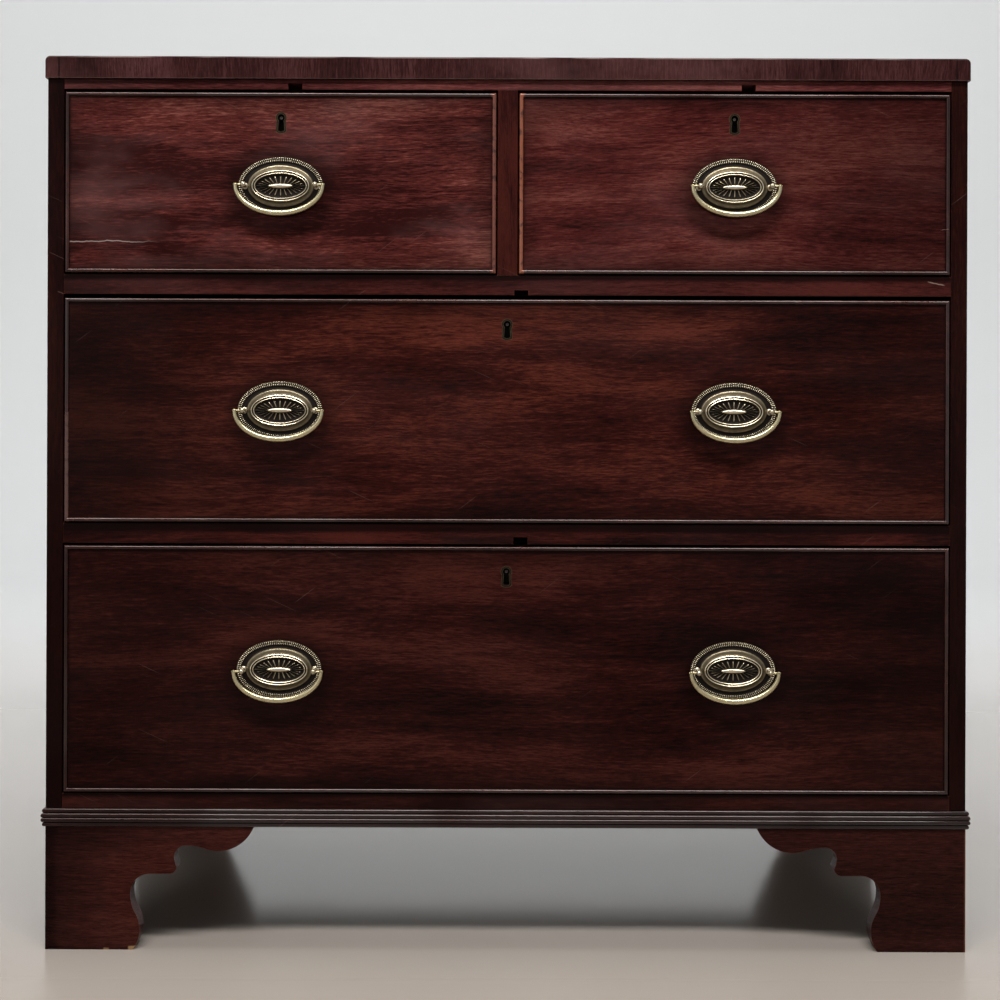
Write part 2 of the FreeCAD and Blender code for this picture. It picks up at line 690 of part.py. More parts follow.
def base_moulding():
    """A frame under the carcase: mitred reeded strips at front and sides, and a plain one at the back."""
    length = "(case_width + 2 * moulding_proud)"
    front = padded(
        "YZ", [reeded_section()], length, x="-outer_x - moulding_proud", y="front_face", z="foot_height")
    pocketed(front, "XY", [
        [("0", "-moulding_proud"), ("0", "moulding_width"), ("moulding_whole", "moulding_width")],
        [(length, "-moulding_proud"), (length, "moulding_width"),
         (f"{length} - moulding_whole", "moulding_width")],
    ])
    left = padded(
        "XZ", [reeded_section()], "case_depth + moulding_proud",
        x="-outer_x", y="front_face - moulding_proud", z="foot_height")
    pocketed(left, "XY", [
        [("-moulding_proud", "0"), ("moulding_width", "0"), ("moulding_width", "moulding_whole")],
    ])
    inside = "(outer_x - moulding_width)"
    behind = ("rear_face - moulding_width", "rear_face")
    back = board((f"-{inside}", inside), behind, ("foot_height", "frame_top"))
    part("base_moulding", front, left, mirrored(left), back)


def bracket_outline(length, sign=""):
    """A bracket's face: how far from its corner, and how high. It swells, narrows and steps up twice."""
    lobe_run = f"({length} - hollow_end)"
    blend = (f"hollow_end + 0.26 * {lobe_run}", "lobe_up + 0.52 * (hollow_up - lobe_up)")
    outline = [
        ("0", "0"),
        ("foot_sole", "0"),
        (("foot_sole + foot_bulge", "0.31 * ankle_up"),
         ("(foot_sole + foot_ankle + foot_bulge) / 2", "0.66 * ankle_up")),
        (("foot_ankle + 0.12 * foot_bulge", "0.84 * ankle_up"), ("foot_ankle", "ankle_up")),
        (("step_start - step_radius * sqrt(0.5)", "ankle_up + (step_up - ankle_up) * sqrt(0.5)"),
         ("step_start", "step_up")),
        ("nose_reach - 1.6 * nose_radius", "step_up"),
        (("nose_reach - 0.5 * nose_radius", "step_up + 0.3 * nose_radius"), ("nose_reach", "nose_up")),
        (("nose_reach - 0.2 * nose_radius", "nose_up + 0.7 * nose_radius"),
         ("hollow_start", "hollow_up - hollow_radius")),
        (("hollow_end - hollow_radius * sqrt(0.5)", "hollow_up - hollow_radius * (1 - sqrt(0.5))"),
         ("hollow_end", "hollow_up")),
        ((f"hollow_end + 0.14 * {lobe_run}", "hollow_up - 0.15 * (hollow_up - lobe_up)"), blend),
        ((f"hollow_end + 0.66 * {lobe_run}", "lobe_up + 0.09 * (foot_height - lobe_up)"),
         (length, "foot_height")),
        ("0", "foot_height"),
    ]
    return [signed(step, sign) for step in outline]


def signed(step, sign):
    """A step of an outline with a sign before how far across it is."""
    if isinstance(step[0], tuple):
        return tuple(signed(place, sign) for place in step)
    return (f"{sign}({step[0]})", step[1])


def front_foot():
    """The left front foot: two bracket boards, mitred at the corner."""
    thick = "foot_thickness"
    front = padded("XZ", [bracket_outline("foot_length")], thick, x="-outer_x", y="front_face")
    pocketed(front, "XY", [[("0", "0"), ("0", thick), (thick, thick)]])
    side = padded("YZ", [bracket_outline("foot_return")], thick, x="-outer_x", y="front_face")
    pocketed(side, "XY", [[("0", "0"), (thick, "0"), (thick, thick)]])
    return together([front, side])


def rear_brace():
    """The plain board across the back of the left back foot."""
    outline = [("0", "0"), ("brace_sole", "0"), ("brace_length", "foot_height"), ("0", "foot_height")]
    return padded(
        "XZ", [outline], "foot_thickness",
        x="-outer_x + foot_thickness", y="rear_face - foot_thickness")


def glue_blocks():
    """The square block in the corner of each left foot."""
    x = ("-outer_x + foot_thickness", "-outer_x + foot_thickness + foot_block")
    z = ("foot_block_lift", "foot_height")
    front = board(x, ("front_face + foot_thickness", "front_face + foot_thickness + foot_block"), z)
    back = board(x, ("rear_face - foot_thickness - foot_block", "rear_face - foot_thickness"), z)
    return together([front, back])


def feet():
    foot = front_foot()
    part("front_foot_left", foot)
    part("front_foot_right", mirrored(foot))
    back = padded("YZ", [bracket_outline("foot_return", "-")], "foot_thickness", x="-outer_x", y="rear_face")
    part("back_foot_left", back)
    part("back_foot_right", mirrored(back))
    brace = rear_brace()
    part("back_foot_braces", brace, mirrored(brace))
    blocks = glue_blocks()
    part("glue_blocks", blocks, mirrored(blocks))


# ---------------------------------------------------------------- drawers

def tail_places(count, low, high):
    """The middle height of each dovetail between two heights, and the half width of its neck."""
    span = f"({high} - {low})"
    middles = [f"({low} + {span} * {2 * i + 1} / {2 * count})" for i in range(count)]
    return middles, f"({span} / {count} * tail_share)"


def side_span(name, side):
    if side == "left":
        return (f"{name}_x_low", f"{name}_x_low + drawer_side_thickness")
    return (f"{name}_x_high - drawer_side_thickness", f"{name}_x_high")


def front_tails(name, side, count):
    """The tails of a drawer side, lapped in the drawer front."""
    middles, neck = tail_places(count, f"{name}_side_low", f"{name}_side_high")
    y = ("front_back - tail_length", "front_back")
    wide = f"{neck} + tail_length * tail_slope"
    return [dovetail(side_span(name, side), y, m, wide, neck) for m in middles]


def rear_tails(name, side, count):
    """The tails of a drawer side, right through the drawer back."""
    middles, neck = tail_places(count, f"{name}_bottom_high", f"{name}_side_high")
    y = ("back_front", "drawer_end")
    wide = f"{neck} + drawer_back_thickness * tail_slope"
    return [dovetail(side_span(name, side), y, m, neck, wide) for m in middles]


def bottom_board(name):
    """The drawer bottom: in grooves at front and sides, and under the back."""
    inner = "(drawer_side_thickness - bottom_groove)"
    return board(
        (f"{name}_x_low + {inner}", f"{name}_x_high - {inner}"), ("front_back - bottom_groove", "drawer_end"),
        (f"{name}_bottom_low", f"{name}_bottom_high"))


def drawer_side(name, side, count):
    """An oak side between front and back, with its tails and its groove."""
    x = side_span(name, side)
    body = board(x, ("front_back", "back_front"), (f"{name}_side_low", f"{name}_side_high"))
    heel = board(x, ("back_front", "drawer_end"), (f"{name}_side_low", f"{name}_bottom_high"))
    tails = front_tails(name, side, count) + rear_tails(name, side, count)
    return less(joined([body, heel] + tails), [bottom_board(name)])


def drawer_box(name, count):
    """Sides, back and bottom, in oak."""
    across = (f"{name}_x_low", f"{name}_x_high")
    back = board(across, ("back_front", "drawer_end"), (f"{name}_bottom_high", f"{name}_side_high"))
    back = less(back, rear_tails(name, "left", count) + rear_tails(name, "right", count))
    sides = [drawer_side(name, side, count) for side in ("left", "right")]
    part(f"{name}_drawer_sides_and_back", *sides, back)
    part(f"{name}_drawer_bottom", bottom_board(name))


def keyhole_outline(grow):
    """The keyhole about the key pin, with its walls moved out."""
    foot_x = f"(key_foot + {grow})"
    foot_z = f"(-key_slot - {grow})"
    neck_x = f"(key_neck + {grow})"
    neck_z = f"(-sqrt((key_round + {grow})^2 - {neck_x}^2))"
    rise = f"({foot_z} + 0.35 * {foot_x})"
    return [
        (f"-{neck_x}", neck_z),
        (("0", f"key_round + {grow}"), (neck_x, neck_z)),
        (foot_x, rise),
        (("0", foot_z), (f"-{foot_x}", rise)),
    ]


def keyhole(name, outlines, y):
    """Outlines about a drawer's key pin as a solid between two places along Y."""
    return padded("XZ", outlines, f"{y[1]} - ({y[0]})", x=f"{name}_middle", y=y[0], z=f"{name}_key")


def keyhole_liner(name):
    """The brass edging let into the keyhole."""
    outlines = [keyhole_outline("liner_wall"), keyhole_outline("0")]
    part(f"{name}_drawer_keyhole", keyhole(name, outlines, ("front_face", "front_face + liner_depth")))


def lock_box(name):
    return board(
        (f"{name}_middle - lock_width / 2", f"{name}_middle + lock_width / 2"),
        ("lock_front", "front_back"), (f"{name}_high - lock_height", f"{name}_high"))


def lock(name):
    """The lock's case, hollow for the bolt and the key's bit, with the pin that the key turns on."""
    half = "(bolt_width / 2 + bolt_gap)"
    channel = board(
        (f"{name}_bolt - {half}", f"{name}_bolt + {half}"),
        ("bolt_y - bolt_thickness / 2 - bolt_gap", "bolt_y + bolt_thickness / 2 + bolt_gap"),
        (f"{name}_high - 2 * bolt_gap - bolt_height", f"{name}_high"))
    chamber = rod(
        f"{name}_middle", "lock_front + lock_plate", f"{name}_key",
        "key_slot + key_sweep", "lock_depth - 2 * lock_plate", Y_AXIS)
    mouth = keyhole(name, [keyhole_outline("0")], ("lock_front", "lock_front + lock_plate"))
    hollow = less(less(lock_box(name), [joined([channel, chamber])]), [mouth])
    pin = rod(
        f"{name}_middle", "lock_front - pin_reach", f"{name}_key",
        "pin_radius", "pin_reach + lock_depth - lock_plate", Y_AXIS)
    part(f"{name}_drawer_lock", joined([hollow, pin]))


def lock_bolt(name):
    """The bolt that the key lifts into the rail above."""
    part(f"{name}_drawer_bolt", board(
        (f"{name}_bolt - bolt_width / 2", f"{name}_bolt + bolt_width / 2"),
        ("bolt_y - bolt_thickness / 2", "bolt_y + bolt_thickness / 2"),
        (f"{name}_high - bolt_gap - bolt_height", f"{name}_high - bolt_gap")))


def bead_strip(length, x, z, turn):
    """One round-nosed cock bead, mitred at both ends, turned about Y to its edge of the drawer front."""
    strip = padded("YZ", [[
        ("bead_depth", "0"), ("bead_depth", "bead_width"), ("bead_width / 2 - bead_proud", "bead_width"),
        (("-bead_proud", "bead_width / 2"), ("bead_width / 2 - bead_proud", "0")),
    ]], length)
    pocketed(strip, "XZ", [
        [("0", "0"), ("0", "bead_width"), ("bead_width", "bead_width")],
        [(length, "0"), (length, "bead_width"), (f"{length} - bead_width", "bead_width")],
    ])
    strip.Placement.Rotation = Rotation(Y_AXIS, turn)
    return bind(strip, x=x, y="front_face", z=z)


def cock_beads(name):
    """The four beads round a drawer front."""
    left, right, low, high = (f"{name}_{end}" for end in ("x_low", "x_high", "low", "high"))
    across = f"({right} - {left})"
    upward = f"({high} - {low})"
    part(
        f"{name}_drawer_beads",
        bead_strip(across, left, low, 0), bead_strip(upward, right, low, -90),
        bead_strip(across, right, high, 180), bead_strip(upward, left, high, 90))


def drawer_front(name, count, handles):
    """The mahogany front, cut for dovetails, drawer bottom, lock, key and handle posts."""
    left, right, low, high = (f"{name}_{end}" for end in ("x_low", "x_high", "low", "high"))
    whole = board((left, right), ("bead_back", "front_back"), (low, high))
    field = board(
        (f"{left} + bead_width", f"{right} - bead_width"), ("front_face", "bead_back"),
        (f"{low} + bead_width", f"{high} - bead_width"))
    joints = front_tails(name, "left", count) + front_tails(name, "right", count)
    blank = less(joined([whole, field]), joints + [bottom_board(name)])
    holes = [
        lock_box(name),
        keyhole(name, [keyhole_outline("liner_wall")], ("front_face", "front_face + liner_depth")),
        keyhole(name, [keyhole_outline("0")], ("front_face + liner_depth", "lock_front")),
    ]
    for offset in handles:
        for side in ("-", "+"):
            holes.append(rod(
                f"{name}_middle + {offset} {side} post_spacing / 2", "front_face", f"{name}_handle_z",
                "shank_radius + shank_gap", "front_thickness", Y_AXIS))
    part(f"{name}_drawer_front", less(blank, holes))


# ---------------------------------------------------------------- handles
# A handle is made lying on its back at the origin, with +Z away from the drawer front and +Y up it.

BAIL_STATIONS = 16
OUTWARD = Rotation(X_AXIS, 90)


def oval(half_width, half_height, level):
    ellipse = doc.addObject("Part::Ellipse", "oval")
    return bind(ellipse, MajorRadius=half_width, MinorRadius=half_height, z=level)


def stacked(*ovals):
    """A solid through ovals, straight between one and the next."""
    loft = doc.addObject("Part::Loft", "stack")
    loft.Sections = list(ovals)
    loft.Solid = True
    loft.Ruled = True
    return loft


def sunburst():
    """The rays, cut off by the dish's oval. Each bar makes two of them."""
    bars = []
    count = round(value("ray_count") / 2)
    for i in range(count):
        ray = doc.addObject("Part::Box", "ray")
        turn = Rotation(Z_AXIS, 180 * i / count)
        ray.Placement.Rotation = turn
        start = turn.multVec(Vector(-1, 0, 0))
        side = turn.multVec(Vector(0, -1, 0))
        bind(
            ray, Length="2 * lip_half_width", Width="ray_width", Height="dish_floor + ray_height",
            x=f"{start.x} * lip_half_width + {side.x} * ray_width / 2",
            y=f"{start.y} * lip_half_width + {side.y} * ray_width / 2")
        bars.append(ray)
    inside = ("lip_half_width - lip_width / 2", "lip_half_height - lip_width / 2")
    burst = doc.addObject("Part::Common", "burst")
    burst.Base = joined(bars)
    burst.Tool = stacked(oval(*inside, "plate_thickness"), oval(*inside, "boss_height"))
    return burst


def back_plate():
    """The stamped plate: beaded rim, raised oval and dished sunburst with a bar across its middle."""
    outer = ("plate_half_width", "plate_half_height")
    eased = ("plate_half_width - rim_chamfer", "plate_half_height - rim_chamfer")
    channel = ("plate_half_width - rim_width", "plate_half_height - rim_width")
    dish = ("lip_half_width - lip_width", "lip_half_height - lip_width")
    rim = stacked(oval(*outer, "0"), oval(*outer, "rim_height - rim_chamfer"), oval(*eased, "rim_height"))
    rim = less(rim, [stacked(oval(*channel, "plate_thickness"), oval(*channel, "rim_height"))])
    boss = stacked(
        oval("boss_half_width", "boss_half_height", "0"),
        oval("boss_half_width", "boss_half_height", "plate_thickness"),
        oval("lip_half_width", "lip_half_height", "boss_height"))
    boss = less(boss, [stacked(oval(*dish, "dish_floor"), oval(*dish, "boss_height"))])
    bar = rod("-bar_half_length", "0", "dish_floor", "bar_radius", "2 * bar_half_length", X_AXIS)
    plate = joined([rim, boss, sunburst(), bar])
    places = ("-post_spacing / 2", "post_spacing / 2")
    return less(plate, [rod(x, "0", "0", "post_neck_radius", "pivot_reach", Z_AXIS) for x in places])


def post(x):
    """A post: shank, neck and a ball bored for the bail's pin."""
    shank = rod(x, "0", "-front_thickness - shank_end", "shank_radius", "front_thickness + shank_end", Z_AXIS)
    neck = rod(x, "0", "0", "post_neck_radius", "pivot_reach", Z_AXIS)
    bore = rod(
        f"{x} - 2 * ball_radius", "0", "pivot_reach",
        "bail_pin_radius + bail_pin_gap", "4 * ball_radius", X_AXIS)
    return less(joined([shank, neck, ball(x, "0", "pivot_reach", "ball_radius")]), [bore])


def nut(x):
    """A square nut against the drawer front's inner face."""
    z = ("-front_thickness - nut_thickness", "-front_thickness")
    blank = board((f"{x} - nut_width / 2", f"{x} + nut_width / 2"), ("-nut_width / 2", "nut_width / 2"), z)
    return less(blank, [rod(x, "0", z[0], "shank_radius", "nut_thickness", Z_AXIS)])


def bail():
    """The swinging bail, hanging towards -Z from its pivot: a swelling half oval, with a pin at each end."""
    sections = []
    for i in range(BAIL_STATIONS + 1):
        turn = f"({180 * i / BAIL_STATIONS} deg)"
        circle = doc.addObject("Part::Circle", "section")
        circle.Placement.Rotation = Rotation(Y_AXIS, 90)
        bind(
            circle, x=f"bail_half_width * cos{turn}", z=f"-bail_drop * sin{turn}",
            Radius=f"bail_end_radius + (bail_middle_radius - bail_end_radius) * sin{turn}")
        circle.setExpression(
            ".Placement.Rotation.Angle",
            formula(f"atan2(-bail_half_width * sin{turn}; -bail_drop * cos{turn})"))
        sections.append(circle)
    bow = doc.addObject("Part::Loft", "bow")
    bow.Sections = sections
    bow.Solid = True
    pieces = [bow]
    inner = "(post_spacing / 2 - ball_radius)"
    length = f"bail_half_width + bail_pin_tip - {inner}"
    for start in (inner, f"-{inner} - ({length})"):
        pieces.append(rod(start, "0", "0", "bail_pin_radius", length, X_AXIS))
    for x in ("bail_half_width", "-bail_half_width"):
        pieces.append(ball(x, "0", "0", "bail_end_radius"))
    return joined(pieces)


def placed(pieces, x, y, z, turn=Rotation()):
    """A set of shared pieces at one place."""
    compound = doc.addObject("Part::Compound", "placed")
    compound.Links = pieces
    compound.Placement.Rotation = turn
    return bind(compound, x=x, y=y, z=z)


def handles_of(name, offsets, fittings, shared_bail):
    """The plates, posts and nuts of a drawer in one sub-part, and each bail in its own."""
    sets = []
    for i, offset in enumerate(offsets):
        x = f"{name}_middle + {offset}"
        sets.append(placed(fittings, x, "front_face", f"{name}_handle_z", OUTWARD))
        label = f"{name}_drawer_bail" if len(offsets) == 1 else f"{name}_drawer_bail_" + ("left", "right")[i]
        part(label, placed([shared_bail], x, "pivot_y", f"{name}_handle_z"))
    part(f"{name}_drawer_handles", *sets)


# ---------------------------------------------------------------- build

def check():
    """Stops if anything failed, or if a pocket missed its body."""
    for thing in doc.Objects:
        if {"Invalid", "Error"} & set(thing.State):
            raise RuntimeError(f"{thing.Label} failed: {thing.State}")
        if thing.TypeId == "PartDesign::Pocket":
            if thing.Shape.Volume > thing.BaseFeature.Shape.Volume - 0.01:
                raise RuntimeError(f"{thing.Label} cuts nothing")
    for thing in PARTS:
        if thing.Shape.isNull() or not thing.Shape.isValid() or not thing.Shape.Solids:
            raise RuntimeError(f"{thing.Label} has no valid solid")


carcase()
base_moulding()
feet()
handle_fittings = [back_plate()]
for half_spacing in ("-post_spacing / 2", "post_spacing / 2"):
    handle_fittings += [post(half_spacing), nut(half_spacing)]
hanging_bail = bail()
for name, bay_left, bay_right, bay_floor, bay_head, head_gap, handles, drop in DRAWERS:
    drawer_front(name, DOVETAILS[name], handles)
    cock_beads(name)
    drawer_box(name, DOVETAILS[name])
    lock(name)
    lock_bolt(name)
    keyhole_liner(name)
    handles_of(name, handles, handle_fittings, hanging_bail)
doc.recompute()
check()

os.makedirs("parts", exist_ok=True)
for thing in PARTS:
    thing.Shape.exportStep(f"parts/{thing.Label}.step")
print(len(PARTS), "sub-parts,", sum(len(thing.Shape.Solids) for thing in PARTS), "solids")
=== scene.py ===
# %% [markdown]
# A small Georgian chest of drawers, dressed for its portrait. The joiner's model comes first and stays
# as it is: every board, bead and brass has its size and place there. This lesson gives each piece its
# surface, and rebuilds the few pieces whose charm lies in detail finer than a joiner would draw.

# %% The joiner's model
import json
import math

import bmesh
import bpy
from mathutils import Matrix, Vector, noise


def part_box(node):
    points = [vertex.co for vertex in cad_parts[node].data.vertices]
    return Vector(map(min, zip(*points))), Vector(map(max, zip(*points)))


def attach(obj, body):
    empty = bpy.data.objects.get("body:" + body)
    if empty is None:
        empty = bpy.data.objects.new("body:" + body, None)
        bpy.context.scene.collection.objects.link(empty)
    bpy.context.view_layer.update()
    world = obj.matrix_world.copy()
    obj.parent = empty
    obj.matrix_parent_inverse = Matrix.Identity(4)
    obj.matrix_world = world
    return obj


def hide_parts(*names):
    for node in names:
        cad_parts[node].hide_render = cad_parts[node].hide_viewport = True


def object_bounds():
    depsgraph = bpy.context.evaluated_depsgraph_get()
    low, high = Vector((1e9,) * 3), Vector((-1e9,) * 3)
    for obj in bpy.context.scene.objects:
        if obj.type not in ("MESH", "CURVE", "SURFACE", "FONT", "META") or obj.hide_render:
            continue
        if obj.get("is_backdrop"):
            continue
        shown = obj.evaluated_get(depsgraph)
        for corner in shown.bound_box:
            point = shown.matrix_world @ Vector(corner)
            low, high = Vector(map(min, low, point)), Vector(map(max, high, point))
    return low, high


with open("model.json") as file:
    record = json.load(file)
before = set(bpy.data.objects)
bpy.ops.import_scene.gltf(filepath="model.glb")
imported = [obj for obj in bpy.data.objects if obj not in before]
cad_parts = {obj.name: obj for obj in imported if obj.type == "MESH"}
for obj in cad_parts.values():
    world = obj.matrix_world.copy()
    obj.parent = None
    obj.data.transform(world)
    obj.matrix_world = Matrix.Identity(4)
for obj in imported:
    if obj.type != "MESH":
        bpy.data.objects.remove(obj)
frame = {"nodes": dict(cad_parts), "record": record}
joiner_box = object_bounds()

record = frame["record"]

# %% [markdown]
# Blender measures in metres, and a cabinet maker thinks in millimetres, so sizes here are written as a number
# times MM. Each piece rides on the body that the record puts it on.

# %% Units, finishes and bodies
MM = 0.001
DRAWERS = ("left", "right", "middle", "bottom")
PLATE_HALF = (42.5, 29.0)
CASE_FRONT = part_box("side_left")[0].y
BODY_OF = {node: body for body, nodes in record["behaviour"]["bodies"].items() for node in nodes}


def stand_for(piece, node):
    """Puts a new piece on the body of the node that it stands for, and hides that node."""
    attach(piece, BODY_OF[node])
    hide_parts(node)
    return piece


# %% [markdown]
# Finishes are wired from nodes. A bench helper keeps that short: it adds a node, sets it up, and fills
# each socket with a number, a colour or another node's output.

# %% A bench for wiring nodes
def shade(code):
    """Six hex digits as the linear colour that a socket takes."""
    parts = [int(code[i:i + 2], 16) / 255 for i in (0, 2, 4)]
    return [p / 12.92 if p <= 0.04045 else ((p + 0.055) / 1.055) ** 2.4 for p in parts] + [1.0]


class Bench:
    """Adds nodes to one tree."""

    def __init__(self, tree):
        self.tree = tree

    def feed(self, socket, value):
        if isinstance(value, bpy.types.NodeSocket):
            self.tree.links.new(value, socket)
        else:
            socket.default_value = value

    def put(self, kind, sockets=None, **settings):
        node = self.tree.nodes.new(kind)
        for name, value in settings.items():
            setattr(node, name, value)
        for key, value in (sockets or {}).items():
            self.feed(node.inputs[key], value)
        return node

    def maths(self, operation, first, second=0.0, clamp=False):
        sockets = {0: first, 1: second}
        return self.put("ShaderNodeMath", sockets, operation=operation, use_clamp=clamp).outputs[0]

    def minus(self, first, second):
        return self.put("ShaderNodeVectorMath", {0: first, 1: second}, operation="SUBTRACT").outputs[0]

    def smooth(self, value, low, high, start=0.0, end=1.0):
        """Rises smoothly from start to end while value goes from low to high."""
        sockets = {"Value": value, "From Min": low, "From Max": high, "To Min": start, "To Max": end}
        return self.put("ShaderNodeMapRange", sockets, interpolation_type="SMOOTHSTEP").outputs[0]

    def blend(self, amount, first, second, mode="MIX"):
        mix = self.put("ShaderNodeMix", {0: amount, 6: first, 7: second}, data_type="RGBA", blend_type=mode)
        return mix.outputs[2]

    def stretch(self, vector, x, y, z):
        return self.put("ShaderNodeMapping", {"Vector": vector, "Scale": (x, y, z)}).outputs[0]

    def speckle(self, vector, scale=1.0, detail=2.0, roughness=0.5):
        """Soft noise from 0 to 1 about one half."""
        sockets = {"Vector": vector, "Scale": scale, "Detail": detail, "Roughness": roughness}
        return self.put("ShaderNodeTexNoise", sockets).outputs[0]

    def ramp(self, value, *stops):
        """Colours along a value, each stop a place and six hex digits."""
        node = self.put("ShaderNodeValToRGB", {0: value})
        elements = node.color_ramp.elements
        while len(elements) < len(stops):
            elements.new(0.5)
        for element, (place, code) in zip(elements, stops):
            element.position = place
            element.color = shade(code)
        return node.outputs[0]

    def effect(self, group, **sockets):
        node = self.put("ShaderNodeGroup", node_tree=group)
        for name, value in sockets.items():
            self.feed(node.inputs[name.replace("_", " ")], value)
        return node.outputs


# %% [markdown]
# An effect that several finishes share is built once, as a node group with named sockets, and each
# finish then sets it to its own taste. This helper opens such a group for wiring.

# %% Opening an effect group
def effect_group(name, inputs, outputs):
    """A new group, its bench, its inputs by name and the node that collects its outputs."""
    tree = bpy.data.node_groups.new(name, "ShaderNodeTree")
    for side, sockets in (("INPUT", inputs), ("OUTPUT", outputs)):
        for label, value in sockets.items():
            kind = "NodeSocketVector" if isinstance(value, tuple) else "NodeSocketFloat"
            tree.interface.new_socket(label, in_out=side, socket_type=kind).default_value = value
    bench = Bench(tree)
    given = bench.put("NodeGroupInput").outputs
    result = bench.put("NodeGroupOutput").inputs
    return tree, bench, given, result


NOWHERE = (0.0, 0.0, 0.0)

# %% [markdown]
# Mahogany is dark, warm and close. Its look is made of four things of very different size: broad bands
# of figure as wide as a hand, streaks a few millimetres wide that run far along the board, short
# flecks, and open pores, which are dark hairs a few millimetres long. Each is a noise pulled long
# along the grain. A slow drift bends them all together, so that the grain wanders as it does in a
# log, and the pores lie in the same direction as the streaks.

# %% Mahogany figure
MAHOGANY_FIGURE, bench, given, result = effect_group(
    "mahogany_figure",
    {"Vector": NOWHERE, "Figure": 1.0, "Streaks": 1.0},
    {"Tone": 0.0, "Pores": 0.0, "Height": 0.0})
drift = bench.put("ShaderNodeTexNoise", {
    "Vector": bench.stretch(given["Vector"], 2.4, 7.0, 7.0), "Scale": 1.0, "Detail": 2.0}).outputs[1]
centred = bench.minus(drift, (0.5, 0.5, 0.5))
bend = bench.put("ShaderNodeVectorMath", {0: centred, "Scale": 34 * MM}, operation="SCALE").outputs[0]
grain = bench.put("ShaderNodeVectorMath", {0: given["Vector"], 1: bend}, operation="ADD").outputs[0]
broad = bench.speckle(bench.stretch(grain, 3.0, 15, 15), detail=3, roughness=0.55)
streak = bench.speckle(bench.stretch(grain, 8, 120, 120), detail=3, roughness=0.6)
thread = bench.speckle(bench.stretch(grain, 24, 460, 460), detail=3, roughness=0.7)
fleck = bench.speckle(bench.stretch(grain, 95, 900, 900), detail=2, roughness=0.6)
pores = bench.speckle(bench.stretch(grain, 230, 3300, 3300), detail=1)
tone = 0.5
for layer, weight in (
        (broad, given["Figure"]), (streak, given["Streaks"]), (thread, 0.65), (fleck, 0.85)):
    offset = bench.maths("SUBTRACT", layer, 0.5)
    tone = bench.maths("ADD", bench.maths("MULTIPLY", offset, weight), tone)
bench.feed(result["Tone"], tone)
pores = bench.smooth(pores, 0.55, 0.68)
bench.feed(result["Pores"], pores)
raised = bench.maths("MULTIPLY", fleck, 0.5)
bench.feed(result["Height"], bench.maths("SUBTRACT", raised, bench.maths("MULTIPLY", pores, 0.6)))
print("mahogany figure:", len(MAHOGANY_FIGURE.nodes), "nodes")

# %% [markdown]
# Pine and oak show their years. A board is sawn from a log some way off its heart, so the rings are
# circles about a distant line, cut by the board's face: straight lines at the edges and long
# arches in the middle. The distance from that line, bent a little and counted in ring widths, gives
# the years. Late wood is the narrow dark end of each.

# %% Growth rings
GROWTH_RINGS, bench, given, result = effect_group(
    "growth_rings",
    {"Vector": NOWHERE, "Ring Width": 3 * MM, "Wander": 6 * MM},
    {"Late Wood": 0.0, "Fibres": 0.0, "Height": 0.0})
drift = bench.put("ShaderNodeTexNoise", {
    "Vector": bench.stretch(given["Vector"], 1.6, 6.0, 6.0), "Scale": 1.0, "Detail": 3.0}).outputs[1]
centred = bench.minus(drift, (0.5, 0.5, 0.5))
bend = bench.put("ShaderNodeVectorMath", {0: centred, "Scale": given["Wander"]}, operation="SCALE").outputs[0]
grain = bench.put("ShaderNodeVectorMath", {0: given["Vector"], 1: bend}, operation="ADD").outputs[0]
heart = bench.stretch(grain, 0.02, 1.0, 1.0)
reach = bench.put("ShaderNodeVectorMath", {0: heart}, operation="LENGTH").outputs["Value"]
year = bench.maths("FRACT", bench.maths("DIVIDE", reach, given["Ring Width"]))
late = bench.maths("MULTIPLY", bench.smooth(year, 0.35, 0.9), bench.smooth(year, 0.9, 1.0, 1.0, 0.0))
fibres = bench.speckle(bench.stretch(grain, 25, 900, 900), detail=3, roughness=0.6)
bench.feed(result["Late Wood"], late)
bench.feed(result["Fibres"], fibres)
bench.feed(result["Height"], bench.maths("ADD", late, fibres))
print("growth rings:", len(GROWTH_RINGS.nodes), "nodes")

# %% [markdown]
# Two centuries of dusters rub polish off every arris, and every corner is dark, with wax and soot and with
# painted shade where little light gets in. Both can be found by looking a few millimetres around a point:
# rays sent into the wood meet another face near an arris, and rays sent out meet one in a corner. A noise
# breaks both up, because hands and dusters are never even.

# %% Rubbed arrises and dark corners
RUBBED_ARRIS, bench, given, result = effect_group(
    "rubbed_arris", {"Vector": NOWHERE, "Reach": 1.5 * MM, "Patchiness": 0.5}, {"Mask": 0.0})
inward = bench.put(
    "ShaderNodeAmbientOcclusion", {"Distance": given["Reach"]}, samples=4, inside=True, only_local=True)
near = bench.maths("SUBTRACT", 1.0, inward.outputs["AO"])
patches = bench.speckle(given["Vector"], scale=45, detail=4, roughness=0.65)
worn = bench.maths("SUBTRACT", near, bench.maths("MULTIPLY", given["Patchiness"], patches))
bench.feed(result["Mask"], bench.smooth(worn, 0.05, 0.35))

DARK_CORNER, bench, given, result = effect_group(
    "dark_corner", {"Vector": NOWHERE, "Reach": 10 * MM, "Patchiness": 0.4}, {"Mask": 0.0})
outward = bench.put("ShaderNodeAmbientOcclusion", {"Distance": given["Reach"]}, samples=5)
near = bench.maths("SUBTRACT", 1.0, outward.outputs["AO"])
patches = bench.speckle(given["Vector"], scale=30, detail=4, roughness=0.6)
dirty = bench.maths("SUBTRACT", near, bench.maths("MULTIPLY", given["Patchiness"], patches))
bench.feed(result["Mask"], bench.smooth(dirty, -0.05, 0.5))
print("arris and corner groups ready")

# %% [markdown]
# Hairline scratches are short, straight and rare. Noise pulled out a hundred times longer than it is
# wide gives dashes, and only its very highest places are kept. The board is turned a little first, so
# that they cross the grain, and a second set is turned the other way.

